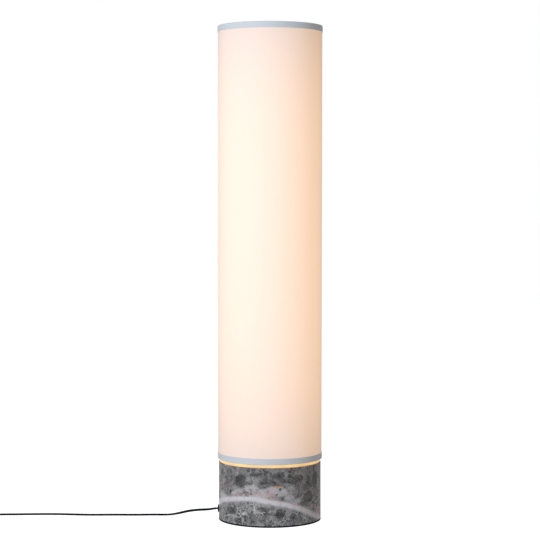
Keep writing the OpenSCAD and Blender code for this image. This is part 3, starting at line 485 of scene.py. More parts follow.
def noise(tree, place, scale, detail=3.0, roughness=0.5, seed=None, kind=0):
    """Cloudy noise from output 0 or "Color". A seed gives another pattern of the same kind."""
    inputs = {"Vector": place, "Scale": scale, "Detail": detail, "Roughness": roughness}
    if seed is None:
        return add(tree, "TexNoise", inputs).outputs[kind]
    return add(tree, "TexNoise", {**inputs, "W": seed}, noise_dimensions="4D").outputs[kind]


def group(name, outputs, **inputs):
    """An empty node group, its input sockets and its output node. None stands for a vector."""
    tree = bpy.data.node_groups.new(name, "ShaderNodeTree")
    for label, value in {"Vector": None, **inputs}.items():
        kind = "NodeSocketVector" if value is None else "NodeSocketFloat"
        socket = tree.interface.new_socket(label, in_out="INPUT", socket_type=kind)
        if value is not None:
            socket.default_value = value
    for label in outputs:
        tree.interface.new_socket(label, in_out="OUTPUT", socket_type="NodeSocketFloat")
    return tree, tree.nodes.new("NodeGroupInput").outputs, tree.nodes.new("NodeGroupOutput")


def place_group(tree, shared, place, **inputs):
    """A copy of a node group in a material, with its own place and values."""
    return add(tree, "Group", {"Vector": place, **inputs}, node_tree=shared).outputs


def finish(name, color, roughness, **sockets):
    """A material with its Principled shader, and the place on the object for its textures."""
    material = bpy.data.materials.new(name)
    material.use_nodes = True
    tree = material.node_tree
    uniform = {key.replace("_", " "): value for key, value in sockets.items()}
    shader = feed(tree, tree.nodes["Principled BSDF"],
                  {"Base Color": (*color, 1), "Roughness": roughness, **uniform})
    return material, tree, shader, add(tree, "TexCoord").outputs["Object"]


def bumped(tree, shader, height, depth):
    """Links a height to the shader's normal, with the real depth in metres."""
    bump = add(tree, "Bump", {"Height": height, "Strength": 1.0, "Distance": depth})
    feed(tree, shader, {"Normal": bump.outputs[0]})


print("material helpers ready")

# %% [markdown]
# Three effects return all over the lamp. Grain is the fine skin of moulded plastic, rubber and
# paint. Weave is plain cloth: two sets of threads that go over and under, with thicker yarn here
# and there. Dust is a thin pale film that settles on what faces up.

# %% Shared effects
YARN_DRIFT = 0.8
SLUB_SCALES = ((60, 2600, 1), (2600, 60, 1))

grain, g_in, g_out = group("Grain", ["Height", "Mottle"], Size=0.0006, Cloud=0.02)
fine_scale = calc(grain, "DIVIDE", 1.0, g_in["Size"])
fine = noise(grain, g_in["Vector"], fine_scale, detail=2.0, roughness=0.6)
cloud_scale = calc(grain, "DIVIDE", 1.0, g_in["Cloud"])
feed(grain, g_out, {"Height": fine, "Mottle": noise(grain, g_in["Vector"], cloud_scale)})

weave, w_in, w_out = group("Weave", ["Height", "Tone"], Pitch=0.0005, Slub=0.35)
waves = []
for along in axes(weave, w_in["Vector"])[:2]:
    drift = noise(weave, w_in["Vector"], scale=90.0, detail=1.0)
    yarns = calc(weave, "DIVIDE", along, w_in["Pitch"])
    yarns = calc(weave, "MULTIPLY_ADD", drift, YARN_DRIFT, yarns)
    waves.append(calc(weave, "SINE", times(weave, yarns, math.pi)))
bumps = calc(weave, "MULTIPLY_ADD", times(weave, *waves), 0.5, 0.5)
slubs = [noise(weave, vec(weave, "MULTIPLY", w_in["Vector"], scales), scale=1.0, detail=1.0)
         for scales in SLUB_SCALES]
slub = calc(weave, "SUBTRACT", calc(weave, "ADD", *slubs), 1.0)
slub = times(weave, slub, w_in["Slub"])
feed(weave, w_out, {"Height": calc(weave, "ADD", bumps, slub),
                    "Tone": calc(weave, "MULTIPLY_ADD", slub, 0.5, 0.5)})

dust, d_in, d_out = group("Dust", ["Mask"], Amount=0.3)
facing = axes(dust, add(dust, "NewGeometry").outputs["Normal"])[2]
upward = ranged(dust, facing, 0.2, 1.0)
specks = noise(dust, d_in["Vector"], scale=140.0, detail=4.0)
settled = times(dust, upward, ranged(dust, specks, 0.35, 0.75))
feed(dust, d_out, {"Mask": times(dust, settled, d_in["Amount"])})
print("groups", [g.name for g in bpy.data.node_groups])

# %% [markdown]
# ## The studio
# The lamp stands in a plain white studio. A large cool soft box hangs at the front left, as the
# photograph's pale trims show, and a neutral world fills the rest. It hangs rather high, so its
# light fades a little towards the floor. Camera, glossy and transmission rays see the world and
# the floor as white, and the floor still takes the lamp's soft shadow.

# %% Studio values
KEY_TURN = math.radians(-33)
KEY_AWAY = 2.9
KEY_HEIGHT = 1.35
KEY_AIM = Vector((0, 0, 0.6))
KEY_SIZE = (1.2, 1.5)
KEY_POWER = 59.5
KEY_COLOR = (0.90, 1.0, 1.14)
FILL = 0.34
FLOOR_WHITE = 0.8
FLOOR_LIFT = 0.8
FLOOR_SIZE = 12.0
WHITE = (1, 1, 1, 1)


# %% Studio
def white_rays(tree):
    """One where a ray comes from the camera, a reflection or a clear piece."""
    light_path = add(tree, "LightPath").outputs
    seen = calc(tree, "MAXIMUM", light_path["Is Camera Ray"], light_path["Is Glossy Ray"])
    return calc(tree, "MAXIMUM", seen, light_path["Is Transmission Ray"])


world = bpy.data.worlds.new("studio")
world.use_nodes = True
sky = world.node_tree
level = add(sky, "MapRange", {"Value": white_rays(sky), "To Min": FILL, "To Max": 1.0}).outputs[0]
feed(sky, sky.nodes["Background"], {"Strength": level, "Color": WHITE})
scene.world = world

key = placed("key_light", bpy.data.lights.new("key_light", "AREA"))
key.data.shape = "RECTANGLE"
key.data.size, key.data.size_y = KEY_SIZE
key.data.energy = KEY_POWER
key.data.color = KEY_COLOR
key.location = (KEY_AWAY * math.sin(KEY_TURN), -KEY_AWAY * math.cos(KEY_TURN), KEY_HEIGHT)
key.rotation_euler = (key.location - KEY_AIM).to_track_quat("Z", "Y").to_euler()
key.visible_camera = False

floor_mesh = bpy.data.meshes.new("studio_floor")
half = FLOOR_SIZE / 2
floor_mesh.from_pydata([(-half, -half, 0), (half, -half, 0), (half, half, 0), (-half, half, 0)],
                       [], [(0, 1, 2, 3)])
floor = placed("studio_floor", floor_mesh)
paper = bpy.data.materials.new("studio_paper")
paper.use_nodes = True
tree = paper.node_tree
tree.nodes.remove(tree.nodes["Principled BSDF"])
lift = times(tree, white_rays(tree), FLOOR_LIFT)
soft = add(tree, "BsdfDiffuse", {"Color": (FLOOR_WHITE, FLOOR_WHITE, FLOOR_WHITE, 1)})
shine = add(tree, "Emission", {"Color": WHITE, "Strength": lift})
both = add(tree, "AddShader", {0: soft.outputs[0], 1: shine.outputs[0]})
feed(tree, tree.nodes["Material Output"], {"Surface": both.outputs[0]})
floor_mesh.materials.append(paper)
print("studio", FLOOR_SIZE, "m wide, key at", [round(v, 2) for v in key.location])

# %% [markdown]
# ## How the bulbs light the drum
# Three bulbs stand one above another inside. The liner spreads their light, so the drum glows
# almost evenly and dims only towards both ends, where light is lost. A node group adds the light
# of the three bulbs at each point, with a softening length for the spread. It also says how much
# is left near the ends, and each lit material uses what it needs. Each end of the drum is given
# by its height, the length over which the loss fades, and the share of light lost there.

# %% Glow
BULB_REACH = 0.042
BULB_HEIGHTS = (0.2415, 0.4415, 0.6415)
BULBS = [(*spot, z) for spot, z in zip(arc(0, 0, BULB_REACH, (0, 120, 240)), BULB_HEIGHTS)]
DRUM_TOP, DRUM_FOOT = 0.8, 0.1
DRUM_ENDS = ((DRUM_TOP, 0.090, 0.33), (DRUM_FOOT, -0.094, 0.36))

glow, gl_in, gl_out = group("Glow", ["Glow", "Ends"], Spread=0.15)
total = 0.0
spread_square = times(glow, gl_in["Spread"], gl_in["Spread"])
for bulb in BULBS:
    ray = vec(glow, "SUBTRACT", gl_in["Vector"], bulb)
    square = vec(glow, "DOT_PRODUCT", ray, ray)
    share = calc(glow, "DIVIDE", spread_square, calc(glow, "ADD", square, spread_square))
    total = calc(glow, "ADD", share, total)
height = axes(glow, gl_in["Vector"])[2]
left = 1.0
for end, fade, share in DRUM_ENDS:
    into = calc(glow, "DIVIDE", calc(glow, "SUBTRACT", height, end), fade)
    lost = times(glow, calc(glow, "EXPONENT", into), share)
    left = calc(glow, "SUBTRACT", left, lost)
feed(glow, gl_out, {"Glow": total, "Ends": left})
print("glow of", len(BULBS), "bulbs")

# %% [markdown]
# ## Shade cloth
# The drum is an off-white plain weave, laminated to a stiff translucent film. The finish has two
# parts: a soft reflecting cloth, and the warm light that comes through it. The light follows the
# glow group, and the yarn shows as a faint pattern in both.

# %% Shade finishes
SHADE_RADIUS = 0.0844
CLOTH_LIGHT = (0.77, 0.465, 0.243)
CLOTH_TONES = ((0.42, 0.43, 0.46), (0.47, 0.49, 0.53))
LINER_LIGHTS = ((0.26, 0.165, 0.085), (0.52, 0.36, 0.20))
TAPE_TONES = ((0.57, 0.575, 0.58), (0.66, 0.665, 0.67))


def woven(tree, place, pitch, slub):
    """The weave group on a drum's wall, taken as a flat cloth in metres."""
    across, depth, high = axes(tree, place)
    turn = calc(tree, "ARCTAN2", depth, across)
    flat = add(tree, "CombineXYZ", {0: times(tree, turn, SHADE_RADIUS), 1: high}).outputs[0]
    return place_group(tree, weave, flat, Pitch=pitch, Slub=slub)


cloth_finish, tree, shader, place = finish(
    "shade_cloth", (0.5, 0.5, 0.52), 0.85, Sheen_Weight=0.1, Sheen_Roughness=0.5,
    Specular_IOR_Level=0.25, Emission_Strength=1.0)
yarn = woven(tree, place, pitch=0.00055, slub=0.5)
light = place_group(tree, glow, place, Spread=0.16)
even = ranged(tree, light["Glow"], 0.7, 1.5, 0.97, 1.01)
yarn_light = ranged(tree, yarn["Tone"], 0.3, 0.7, 0.94, 1.04)
lit = times(tree, times(tree, light["Ends"], even), yarn_light)
# Where the cloth is seen edge-on its glow is painted dimmer, a painted shade at the drum's sides.
edge_on = add(tree, "LayerWeight", {"Blend": 0.5}).outputs["Facing"]
lit = times(tree, lit, ranged(tree, edge_on, 0.5, 0.9, 1.0, 0.84))
feed(tree, shader, {"Emission Color": mixed(tree, lit, (0, 0, 0), CLOTH_LIGHT),
                    "Base Color": mixed(tree, yarn["Tone"], *CLOTH_TONES)})
bumped(tree, shader, yarn["Height"], 0.00006)

liner_finish, tree, shader, place = finish(
    "shade_liner", (0.85, 0.82, 0.76), 0.6, Emission_Strength=1.0)
light = place_group(tree, glow, place, Spread=0.1)["Glow"]
skin = place_group(tree, grain, place, Size=0.0012, Cloud=0.03)
warm = mixed(tree, ranged(tree, light, 0.4, 1.5), *LINER_LIGHTS)
mottle = ranged(tree, skin["Mottle"], 0.2, 0.8, 0.95, 1.03)
feed(tree, shader, {"Emission Color": mixed(tree, 1.0, warm, mottle, "MULTIPLY")})
bumped(tree, shader, skin["Height"], 0.00003)

tape_finish, tree, shader, place = finish(
    "trim_tape", (0.6, 0.62, 0.65), 0.8, Sheen_Weight=0.15, Specular_IOR_Level=0.3)
yarn = woven(tree, place, pitch=0.00045, slub=0.3)
feed(tree, shader, {"Base Color": mixed(tree, yarn["Tone"], *TAPE_TONES)})
bumped(tree, shader, yarn["Height"], 0.00005)
print("finishes for cloth, liner and tapes")

# %% [markdown]
# The cloth is one sheet, wrapped once round the drum and glued along a narrow overlap at the
# back. It is made as a thin closed skin of quads, and the overlap is where the outer face steps
# out by about half a yarn.

# %% Shade cloth mesh
CLOTH_INNER = 0.0839
CLOTH_LOW, CLOTH_HIGH = 0.1006, 0.7994
CLOTH_ROWS = 40
CLOTH_STEPS = 240
SEAM_TURN = math.radians(90)
SEAM_HALF = math.radians(4.2)
SEAM_EASE = math.radians(1.2)
SEAM_STEP = 0.00032


def cloth_bend(turn, r, z):
    """Steps the outer face out where the cloth overlaps itself at the back."""
    off = abs((turn - SEAM_TURN + math.pi) % (2 * math.pi) - math.pi)
    if r > CLOTH_INNER and off < SEAM_HALF:
        r += SEAM_STEP * eased((SEAM_HALF - off) / SEAM_EASE)
    return r, z


rows = [CLOTH_LOW + (CLOTH_HIGH - CLOTH_LOW) * k / CLOTH_ROWS for k in range(CLOTH_ROWS + 1)]
outline = [(SHADE_RADIUS, z) for z in rows] + [(CLOTH_INNER, z) for z in reversed(rows)]
cloth = piece("shade_cloth", *turned(outline, CLOTH_STEPS, bend=cloth_bend),
              "shade", "shade_fabric")
cloth.data.materials.append(cloth_finish)
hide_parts("shade_fabric")

# %% [markdown]
# Each end of the drum is bound with a pale woven tape, folded over the rim. Its outline is a
# thin strip with a round fold, turned about the lamp's axis. The top tape goes on over the wire
# ring, and the bottom one ends at the liner.

# %% Trim tapes
TAPE = 0.0006
TAPE_HIGH = 0.010
TAPE_STEPS = 192
TAPE_OUTER = 0.085
TOP_TAPE_INNER, LOW_TAPE_INNER = 0.0804, 0.0834
FOLD_RADIUS = 0.0011


def fold(inner, edge, up):
    """Outline of a tape: outer face, round fold at the rim, flat part and a turned-in tip."""
    tip, flat_end = edge - up * TAPE_HIGH, inner + TAPE / 2
    centre = (TAPE_OUTER - FOLD_RADIUS, edge - up * FOLD_RADIUS)
    turns = [up * t for t in range(CORNER_STEP, 91, CORNER_STEP)]
    return [(TAPE_OUTER, tip), (TAPE_OUTER, centre[1]), *arc(*centre, FOLD_RADIUS, turns),
            (flat_end, edge), (inner, edge - up * TAPE / 2), (flat_end, edge - up * TAPE),
            *arc(*centre, FOLD_RADIUS - TAPE, turns[::-1]),
            (TAPE_OUTER - TAPE, tip + up * TAPE / 3), (TAPE_OUTER - TAPE * 0.7, tip)]


top_tape = piece("top_tape", *turned(fold(TOP_TAPE_INNER, DRUM_TOP, 1), TAPE_STEPS),
                 "shade", "trim_tape")
low_tape = piece("bottom_tape", *turned(fold(LOW_TAPE_INNER, DRUM_FOOT, -1), TAPE_STEPS),
                 "shade", "trim_tape")
for tape, node in ((top_tape, "top_trim"), (low_tape, "bottom_trim")):
    tape.data.materials.append(tape_finish)
    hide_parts(node)
print("tapes", len(top_tape.data.polygons), "faces each")

# %% [markdown]
# ## The seat ring
# Between the stone and the shade a frosted acrylic ring shows as a thin line of warm light. It
# carries the drum and lets light out all round. Frosted acrylic that is lit from inside has no
# visible depth, so an even warm emission with a soft mottle does it.

# %% Seat ring finish
SEAT_LOW, SEAT_HIGH = 0.0948, 0.0992
SEAT_LIGHTS = ((0.70, 0.36, 0.12), (0.82, 0.52, 0.19))

seat_finish, tree, shader, place = finish(
    "seat_acrylic", (0.36, 0.30, 0.2), 0.5, Specular_IOR_Level=0.2, Emission_Strength=1.0)
skin = place_group(tree, grain, place, Size=0.0009, Cloud=0.035)
warm = mixed(tree, ranged(tree, axes(tree, place)[2], SEAT_LOW, SEAT_HIGH), *SEAT_LIGHTS)
mottle = ranged(tree, skin["Mottle"], 0.3, 0.7, 0.78, 1.1)
feed(tree, shader, {"Emission Color": mixed(tree, 1.0, warm, mottle, "MULTIPLY")})
bumped(tree, shader, skin["Height"], 0.00004)
print("seat ring finish", seat_finish.name)

# %% [markdown]
# ## Marble
# The base is a mid-grey marble: dark oval clouds in a net of fine white lines, crossed by one
# broad pale sheet with pink veins along it. In real stone such a sheet runs through the block, so
# here it is a tilted plane in space, bent by noise, and shows right on the wall, the top and the
# underside. Single marks are placed one by one on the wall. A row of ovals is one curve for their
# heights round the wall and one for their sizes, and a set of long veins is one curve. On a curve
# 0 to 1 stands for one turn round the wall and for 100 mm of height. Small marks are patches and
# strokes in space. Node groups give the masks of all of these.

# %% Marble groups
CURVE_TALL = 100

vein, v_in, v_out = group("Vein", ["Mask"], Tilt=None, Offset=0.0, Width=0.003)
level = vec(vein, "DOT_PRODUCT", v_in["Vector"], v_in["Tilt"])
near = calc(vein, "DIVIDE", away(vein, level, v_in["Offset"]), v_in["Width"])
near = times(vein, near, near)
near = calc(vein, "ADD", 1.0, times(vein, near, near))
feed(vein, v_out, {"Mask": calc(vein, "DIVIDE", 1.0, near)})

patch, p_in, p_out = group("Patch", ["Mask"], Centre=None, Reach=None, Core=0.3)
off = vec(patch, "SUBTRACT", p_in["Vector"], p_in["Centre"])
off = vec(patch, "LENGTH", vec(patch, "DIVIDE", off, p_in["Reach"]))
feed(patch, p_out, {"Mask": ranged(patch, off, 1.0, p_in["Core"])})

wall, wl_in, wl_out = group("Wall", ["Turn", "Height"])
across, depth, high = axes(wall, wl_in["Vector"])
turn = calc(wall, "ARCTAN2", across, times(wall, depth, -1.0))
feed(wall, wl_out, {"Turn": calc(wall, "MULTIPLY_ADD", turn, 0.5 / math.pi, 0.5),
                    "Height": times(wall, high, 1 / (CURVE_TALL * MM))})

stroke, s_in, s_out = group("Stroke", ["Mask"], Start=None, Step=None, Width=0.001)
off = vec(stroke, "SUBTRACT", s_in["Vector"], s_in["Start"])
along = vec(stroke, "DOT_PRODUCT", off, s_in["Step"])
whole = vec(stroke, "DOT_PRODUCT", s_in["Step"], s_in["Step"])
along = calc(stroke, "DIVIDE", along, whole, clamp=True)
reached = vec(stroke, "SCALE", s_in["Step"], along)
gap = vec(stroke, "DISTANCE", off, reached)
feed(stroke, s_out, {"Mask": ranged(stroke, gap, s_in["Width"], 0.0)})
print("marble groups ready")

# %% Marble tools
STONE_RADIUS = 0.083
BELOW_STONE = -30
VEIN_DIP = 1.5
OVAL_SHOULDER = (0.6, 0.8)


def bent(tree, place, scale, amount, detail=2.0, seed=0.0):
    """A place pushed about by noise, at most about half the amount each way."""
    color = noise(tree, place, scale, detail, seed=seed, kind="Color")
    centred = vec(tree, "SUBTRACT", color, (0.5, 0.5, 0.5))
    return vec(tree, "ADD", place, vec(tree, "SCALE", centred, amount))


def web(tree, place, scale, width, seed):
    """Thin lines between the cells of a crackle pattern."""
    cells = add(tree, "TexVoronoi", {"Vector": place, "W": seed, "Scale": scale},
                voronoi_dimensions="4D", feature="DISTANCE_TO_EDGE").outputs["Distance"]
    return ranged(tree, cells, width, 0.0)


def on_wall(turn, height):
    """A place on the stone's wall, in degrees from the front and millimetres from the floor."""
    t = math.radians(turn)
    return Vector((STONE_RADIUS * math.sin(t), -STONE_RADIUS * math.cos(t), height * MM))


def round_curve(tree, turn, points):
    """A height round the wall, straight between points of (degrees, millimetres)."""
    node = add(tree, "FloatCurve", {"Value": turn})
    node.mapping.use_clip = False
    line = node.mapping.curves[0].points
    inside = [(0.5 + t / 360, h / CURVE_TALL) for t, h in points]
    line[0].location, line[1].location = inside[0], inside[-1]
    for spot in inside[1:-1]:
        line.new(*spot)
    for spot in line:
        spot.handle_type = "VECTOR"
    node.mapping.update()
    return node.outputs[0]


def ovals(tree, at, marks, soft):
    """A row of ovals from left to right, each a turn, height, half width and half height."""
    centres, sizes = [(-180, marks[0][1])], [(-180, 0)]
    for turn, height, wide, high in marks:
        in_wide, in_high = wide * OVAL_SHOULDER[0], high * OVAL_SHOULDER[1]
        centres += [(turn - wide, height), (turn + wide, height)]
        sizes += [(turn - wide, 0), (turn - in_wide, in_high), (turn, high),
                  (turn + in_wide, in_high), (turn + wide, 0)]
    centre = round_curve(tree, at["Turn"], centres + [(180, marks[-1][1])])
    size = round_curve(tree, at["Turn"], sizes + [(180, 0)])
    inside = calc(tree, "SUBTRACT", size, away(tree, at["Height"], centre))
    return ranged(tree, inside, 0.0, soft / CURVE_TALL)


def traces(tree, at, runs, width):
    """Long veins on one curve, from left to right. Between them it dips below the stone."""
    points = [(-180, BELOW_STONE)]
    for run in runs:
        points += [(run[0][0] - VEIN_DIP, BELOW_STONE), *run, (run[-1][0] + VEIN_DIP, BELOW_STONE)]
    height = round_curve(tree, at["Turn"], points + [(180, BELOW_STONE)])
    return ranged(tree, away(tree, at["Height"], height), width / CURVE_TALL, 0.0)


def patches(tree, place, marks, core):
    """A few patches, each a turn, height, half width, half height and strength."""
    return highest(tree, (
        times(tree, place_group(tree, patch, place, Centre=on_wall(turn, height), Core=core,
                                Reach=(wide * MM, wide * MM, high * MM))["Mask"], strength)
        for turn, height, wide, high, strength in marks))


def strokes(tree, place, points, width):
    """A short vein through a few points on the wall."""
    spots = [on_wall(*p) for p in points]
    return highest(tree, (
        place_group(tree, stroke, place, Start=a, Step=b - a, Width=width * MM)["Mask"]
        for a, b in zip(spots, spots[1:])))


print("marble tools ready")

# %% [markdown]
# The finish is painted in layers, as the eye reads the stone: cloudy ground, dark ovals, the
# haze of pale clouds and the pale sheet, the white net, the pink and red veins, and last a few
# dark dots. A place on the wall is in degrees from the front and millimetres from the floor.

# %% Marble values
GROUND_TONES = ((0.045, 0.043, 0.042), (0.240, 0.220, 0.208))
OVAL_TONE = (0.036, 0.035, 0.035)
SPECK_TONE = (0.36, 0.345, 0.335)
HAZE_TONE = (0.455, 0.412, 0.405)
BAND_TONE = (0.65, 0.60, 0.595)
BAND = {"Tilt": (0.1747, 0.3745, 1.0), "Offset": 0.0107, "Width": 0.0046}
DARK_ROWS = [
    [(-150, 66, 11, 11), (-105, 62, 8, 12), (-36, 69, 10, 9), (-5, 71.5, 8, 5), (27, 71, 7, 6.5),
     (61, 70, 7, 17), (120, 60, 11, 12)],
    [(-125, 22, 9, 9), (-50, 23, 8, 10), (-9, 30, 7, 6), (12, 20, 8, 8), (26, 15, 5, 6),
     (48, 45, 10, 12), (92, 24, 8, 9), (165, 30, 10, 9)],
    [(-33, 78, 8, 8), (-16, 84, 9, 6), (8, 82, 11, 7), (32, 77, 9, 8), (140, 84, 12, 6)]]
DOT_TONE = (0.04, 0.039, 0.039)
DARK_DOTS = [
    (-49, 53.5, 3.8, 6.5, 1), (11.3, 61, 3.2, 3, 1), (7.7, 52.7, 3.2, 2, 1),
    (-24.6, 38.7, 3, 2.2, 0.9), (35, 20.8, 3.2, 2.4, 0.9), (-58.1, 92, 2.4, 1.4, 0.9),
    (-21, 52.6, 2.6, 2, 0.8), (50, 9, 5, 5, 0.6)]
CLOUD_ROWS = [
    [(-110, 44, 14, 9), (-66, 44, 11, 8), (-39, 50, 14, 7), (-12, 58, 15, 13), (12, 54, 10, 10.5),
     (31, 41, 9, 7), (150, 40, 14, 9)],
    [(-20, 61, 12, 10), (2, 59, 9, 11), (22, 47, 7, 8)]]
NET_TONE = (0.58, 0.55, 0.53)
NETS = ((105, 0.05, 1.0, 0.4, 0.58, 0.75), (215, 0.085, 4.0, 0.38, 0.6, 0.5))
WHITE_TONE = (0.60, 0.58, 0.56)
WHITE_VEINS = [
    [(-100, 60), (-84, 74), (-76, 78)], [(-62, 10), (-50, 16), (-36, 13.5), (-30, 21), (-27, 28)],
    [(-18.8, 33.5), (-15, 24.7), (-9.5, 22.4), (-4, 25.2)],
    [(7, 3.3), (9.5, 8.3), (14, 12), (20, 25)], [(34, 20), (42, 12), (52, 6)],
    [(110, 70), (124, 82), (150, 74)]]
# Pale knots in the stone. The patch at -59 degrees on the top edge is a painted highlight, where
# the glow lights a chip.
KNOT_AND_GLINT_TONE = (0.66, 0.63, 0.60)
WHITE_KNOTS_AND_CHIP_GLINT = [
    (-30, 21, 4.4, 3.6, 1), (-17, 28, 3.6, 3, 0.5), (-59, 94.4, 2.6, 1.7, 1),
    (-18, 68, 3, 2, 0.6), (-30, 50.5, 5, 3.2, 0.6), (-31, 11.5, 4.5, 6, 0.4)]
PINK_TONE = (0.60, 0.39, 0.36)
PINK_ROW = [
    (-46, 44.5, 5, 3), (-35, 49, 5, 4), (-22, 52, 7, 3.5), (-9, 54, 6, 7), (2.5, 52, 4, 8),
    (30, 35, 6, 3.5), (58, 28, 6, 5), (72, 18, 8, 9)]
RED_TONE = (0.52, 0.27, 0.23)
HAIR_VEINS = [
    [(-92, 48), (-67, 57), (-52, 65), (-41, 72)],
    [(-5, 49.5), (1, 46.4), (9.5, 43), (19, 40.5), (29, 35.7), (37, 29.5), (46, 23), (61, 13.6),
     (79, 3.4)], [(118, 2), (135, 24), (152, 36), (176, 47)]]
EDGE_VEINS = [
    [(-178, 47), (-150, 55), (-128, 50), (-105, 42)],
    [(-46, 45.6), (-35, 51), (-26, 53.4), (-17, 54.2), (-9, 55.8)],
    [(18, 97), (26, 89.5), (32, 82.4), (39.5, 72.4), (44, 62.6), (51, 57.6), (66, 44), (90, 33)]]
THIN_VEINS = [
    [(-72, 66), (-66, 72), (-60, 81)], [(23.6, 61), (30, 57), (36, 50), (42, 43.6)],
    [(52, 31.4), (67, 20.7), (79, 10), (96, 4)], [(150, 90), (158, 78), (171, 66)]]
RED_VEINS = ((1.2, 0.55, HAIR_VEINS), (1.6, 0.4, EDGE_VEINS), (1.4, 0.38, THIN_VEINS))
HOOK_TONE = (0.60, 0.29, 0.22)
HOOK = [(6.8, 65.4), (2.3, 62.4), (0.9, 56), (4.1, 49.6)]
SALMON_TONE = (0.62, 0.31, 0.13)
SALMON = [(13.2, 64.7), (6.8, 65.5)]

# %% Marble finish
marble, tree, shader, place = finish("marble", (0.16, 0.15, 0.15), 0.5, Specular_IOR_Level=0.1)
swirl = bent(tree, place, scale=30, amount=0.006)
crumple = bent(tree, place, scale=75, amount=0.009, detail=3.0, seed=2.0)
crumple = bent(tree, crumple, scale=300, amount=0.003, seed=3.0)
frayed = bent(tree, place, scale=160, amount=0.0065, detail=4.0, seed=5.0)
rough_wall = place_group(tree, wall, frayed)
near_place = bent(tree, place, scale=170, amount=0.004, detail=3.0, seed=12.0)
fine_wall = place_group(tree, wall, near_place)

clouds = noise(tree, crumple, 75, detail=6.0, roughness=0.62, seed=1.0)
stone = mixed(tree, ranged(tree, clouds, 0.37, 0.65), *GROUND_TONES)
dark = highest(tree, (ovals(tree, rough_wall, row, soft=5.0) for row in DARK_ROWS))
deep = times(tree, dark, ranged(tree, clouds, 0.35, 0.75, 0.92, 0.45))
stone = mixed(tree, deep, stone, OVAL_TONE)
speck = noise(tree, crumple, 520, roughness=0.7, seed=4.0)
stone = mixed(tree, ranged(tree, speck, 0.5, 0.72, 0.0, 0.4), stone, SPECK_TONE)

haze = calc(tree, "MAXIMUM", *[ovals(tree, rough_wall, row, soft=6.0) for row in CLOUD_ROWS])
torn = noise(tree, crumple, 120, detail=5.0, roughness=0.65, seed=7.0)
torn = ranged(tree, torn, 0.34, 0.56, 0.3, 0.92)
stone = mixed(tree, times(tree, haze, torn), stone, HAZE_TONE)
band = place_group(tree, vein, swirl, **BAND)["Mask"]
torn = noise(tree, crumple, 150, detail=5.0, roughness=0.65, seed=9.0)
torn = ranged(tree, torn, 0.3, 0.55, 0.55, 0.97)
stone = mixed(tree, times(tree, band, torn), stone, BAND_TONE)

clear = calc(tree, "SUBTRACT", 1.0, times(tree, dark, 0.8))
clear = times(tree, clear, ranged(tree, rough_wall["Height"], 0.45, 0.3, 0.6, 1.0))
for scale, width, seed, low, high, most in NETS:
    net_place = bent(tree, place, scale * 0.8, 1.1 / scale, detail=3.0, seed=seed + 5)
    lines = web(tree, net_place, scale, width, seed)
    torn = ranged(tree, noise(tree, place, 60, seed=seed + 2), low, high, 0.0, most)
    stone = mixed(tree, times(tree, times(tree, lines, torn), clear), stone, NET_TONE)
white = times(tree, traces(tree, fine_wall, WHITE_VEINS, width=1.3), 0.55)
stone = mixed(tree, white, stone, WHITE_TONE)
# White knots, and a painted highlight on a chip at the top edge of the stone.
stone = mixed(tree, patches(tree, frayed, WHITE_KNOTS_AND_CHIP_GLINT, core=0.0), stone, KNOT_AND_GLINT_TONE)

torn = noise(tree, crumple, 170, detail=5.0, roughness=0.65, seed=31.0)
torn = ranged(tree, torn, 0.40, 0.62, 0.1, 0.66)
pink = times(tree, ovals(tree, rough_wall, PINK_ROW, soft=2.5), torn)
stone = mixed(tree, pink, stone, PINK_TONE)
broken = ranged(tree, noise(tree, place, 140, seed=21.0), 0.36, 0.6, 0.35, 1.0)
for width, strength, veins in RED_VEINS:
    line = traces(tree, fine_wall, veins, width)
    stone = mixed(tree, times(tree, line, times(tree, broken, strength)), stone, RED_TONE)
wander = bent(tree, place, scale=170, amount=0.003, detail=3.0, seed=12.0)
hook = times(tree, strokes(tree, wander, HOOK, width=1.8), 0.65)
stone = mixed(tree, hook, stone, HOOK_TONE)
stone = mixed(tree, strokes(tree, wander, SALMON, width=1.7), stone, SALMON_TONE)
shaky = bent(tree, place, scale=260, amount=0.002, seed=14.0)
dots = patches(tree, shaky, DARK_DOTS, core=0.2)
feed(tree, shader, {"Base Color": mixed(tree, dots, stone, DOT_TONE),
                    "Roughness": ranged(tree, clouds, 0.3, 0.7, 0.45, 0.55)})
bumped(tree, shader, speck, 0.00002)
print("marble with", sum(map(len, DARK_ROWS)), "dark ovals")

# %% [markdown]
# ## Plain finishes
# The rest of the lamp is plated steel, brass, powder coat, moulded plastic, rubber and foam. Each
# gets its own small graph from the shared groups: grain for the skin, dust where it settles.

# %% Plain finishes
DUST_TONE = (0.35, 0.34, 0.32)
STRAP_TONES = ((0.012, 0.012, 0.013), (0.035, 0.035, 0.037))


def plain(name, color, roughness, size, depth, dusty=0.0, contrast=0.12, **sockets):
    """A finish of one tone with a grained skin, a slight mottle and some dust."""
    material, tree, shader, place = finish(name, color, roughness, **sockets)
    skin = place_group(tree, grain, place, Size=size, Cloud=0.015)
    tones = [[min(c * (1 + lift), 1) for c in color] for lift in (-contrast, contrast)]
    tone = mixed(tree, skin["Mottle"], *tones)
    if dusty:
        film = place_group(tree, dust, place, Amount=dusty)["Mask"]
        tone = mixed(tree, film, tone, DUST_TONE)
    rough = ranged(tree, skin["Mottle"], 0.2, 0.8, roughness * 0.85, min(roughness * 1.15, 1))
    feed(tree, shader, {"Base Color": tone, "Roughness": rough})
    bumped(tree, shader, skin["Height"], depth)
    return material


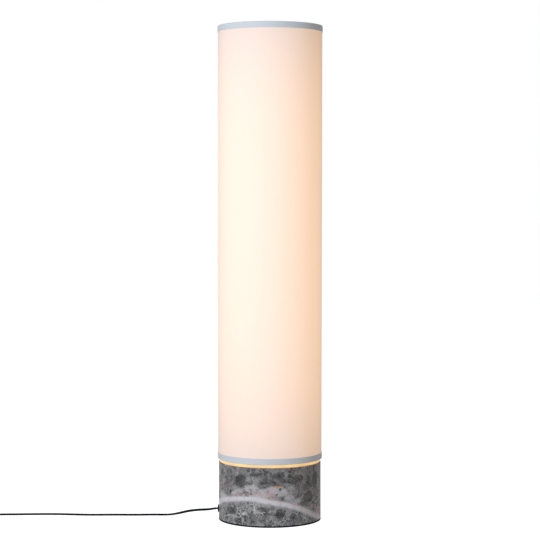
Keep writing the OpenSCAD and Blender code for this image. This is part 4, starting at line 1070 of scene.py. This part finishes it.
finishes = {
    "stone": marble,
    "shade_liner": liner_finish,
    "seat_acrylic": seat_finish,
    "pad_foam": plain("pad_foam", (0.004, 0.004, 0.004), 0.95, 0.0009, 0.00012,
                      Specular_IOR_Level=0.1),
    "steel": plain("zinc_steel", (0.62, 0.62, 0.63), 0.32, 0.0008, 0.00001, Metallic=1.0),
    "brass": plain("brass", (0.78, 0.58, 0.28), 0.28, 0.0007, 0.00001, Metallic=1.0),
    "cap_metal": plain("cap_metal", (0.75, 0.75, 0.76), 0.3, 0.0008, 0.00001, Metallic=1.0),
    "white_metal": plain("white_coat", (0.73, 0.715, 0.69), 0.45, 0.0007, 0.00002, dusty=0.25,
                         contrast=0.03),
    "white_plastic": plain("white_plastic", (0.74, 0.72, 0.68), 0.4, 0.0006, 0.00002,
                           contrast=0.03),
    "black_plastic": plain("black_plastic", (0.010, 0.010, 0.011), 0.5, 0.0005, 0.00003,
                           dusty=0.02, Specular_IOR_Level=0.1),
    "black_rubber": plain("black_rubber", (0.009, 0.009, 0.0095), 0.6, 0.0006, 0.00003,
                          dusty=0.02, Specular_IOR_Level=0.08),
    "lead_brown": plain("lead_brown", (0.22, 0.10, 0.05), 0.45, 0.0005, 0.00001),
    "opal": plain("opal_glass", (0.60, 0.57, 0.52), 0.25, 0.002, 0.000005, contrast=0.02,
                  Emission_Color=(0.42, 0.30, 0.16, 1), Emission_Strength=1.0),
}
cord_finish = plain("cord_pvc", (0.0035, 0.0035, 0.0038), 0.6, 0.0008, 0.00002,
                    Specular_IOR_Level=0.05)

strap_finish, tree, shader, place = finish("strap_tape", (0.02, 0.02, 0.021), 0.9, Sheen_Weight=0.3)
yarn = place_group(tree, weave, place, Pitch=0.0007, Slub=0.6)
feed(tree, shader, {"Base Color": mixed(tree, yarn["Tone"], *STRAP_TONES)})
bumped(tree, shader, yarn["Height"], 0.00015)

for thing, material in ((cord_to_foot, cord_finish), (cord_to_plug, cord_finish),
                        (ties, strap_finish), (spring, finishes["steel"]),
                        (plug_shell, finishes["black_plastic"])):
    thing.data.materials.append(material)
print(len(finishes), "finishes by slot,", len(bpy.data.materials), "materials")

# %% [markdown]
# A CAD node whose shape is right stays as it is, and only gets its finish. The record says which
# slot each node has.

# %% Finish the CAD nodes
slot_of = {part["node"]: part["material_slot"] for part in frame["record"]["subparts"]}
dressed = 0
for name, node in nodes.items():
    if node.hide_render or slot_of[name] not in finishes:
        continue
    if not node.material_slots:
        node.data.materials.append(finishes[slot_of[name]])
    for place in node.material_slots:
        place.material = finishes[slot_of[name]]
    dressed += 1
print(dressed, "CAD nodes dressed")

# %% [markdown]
# ## The end

# %% Finish
print("finished")
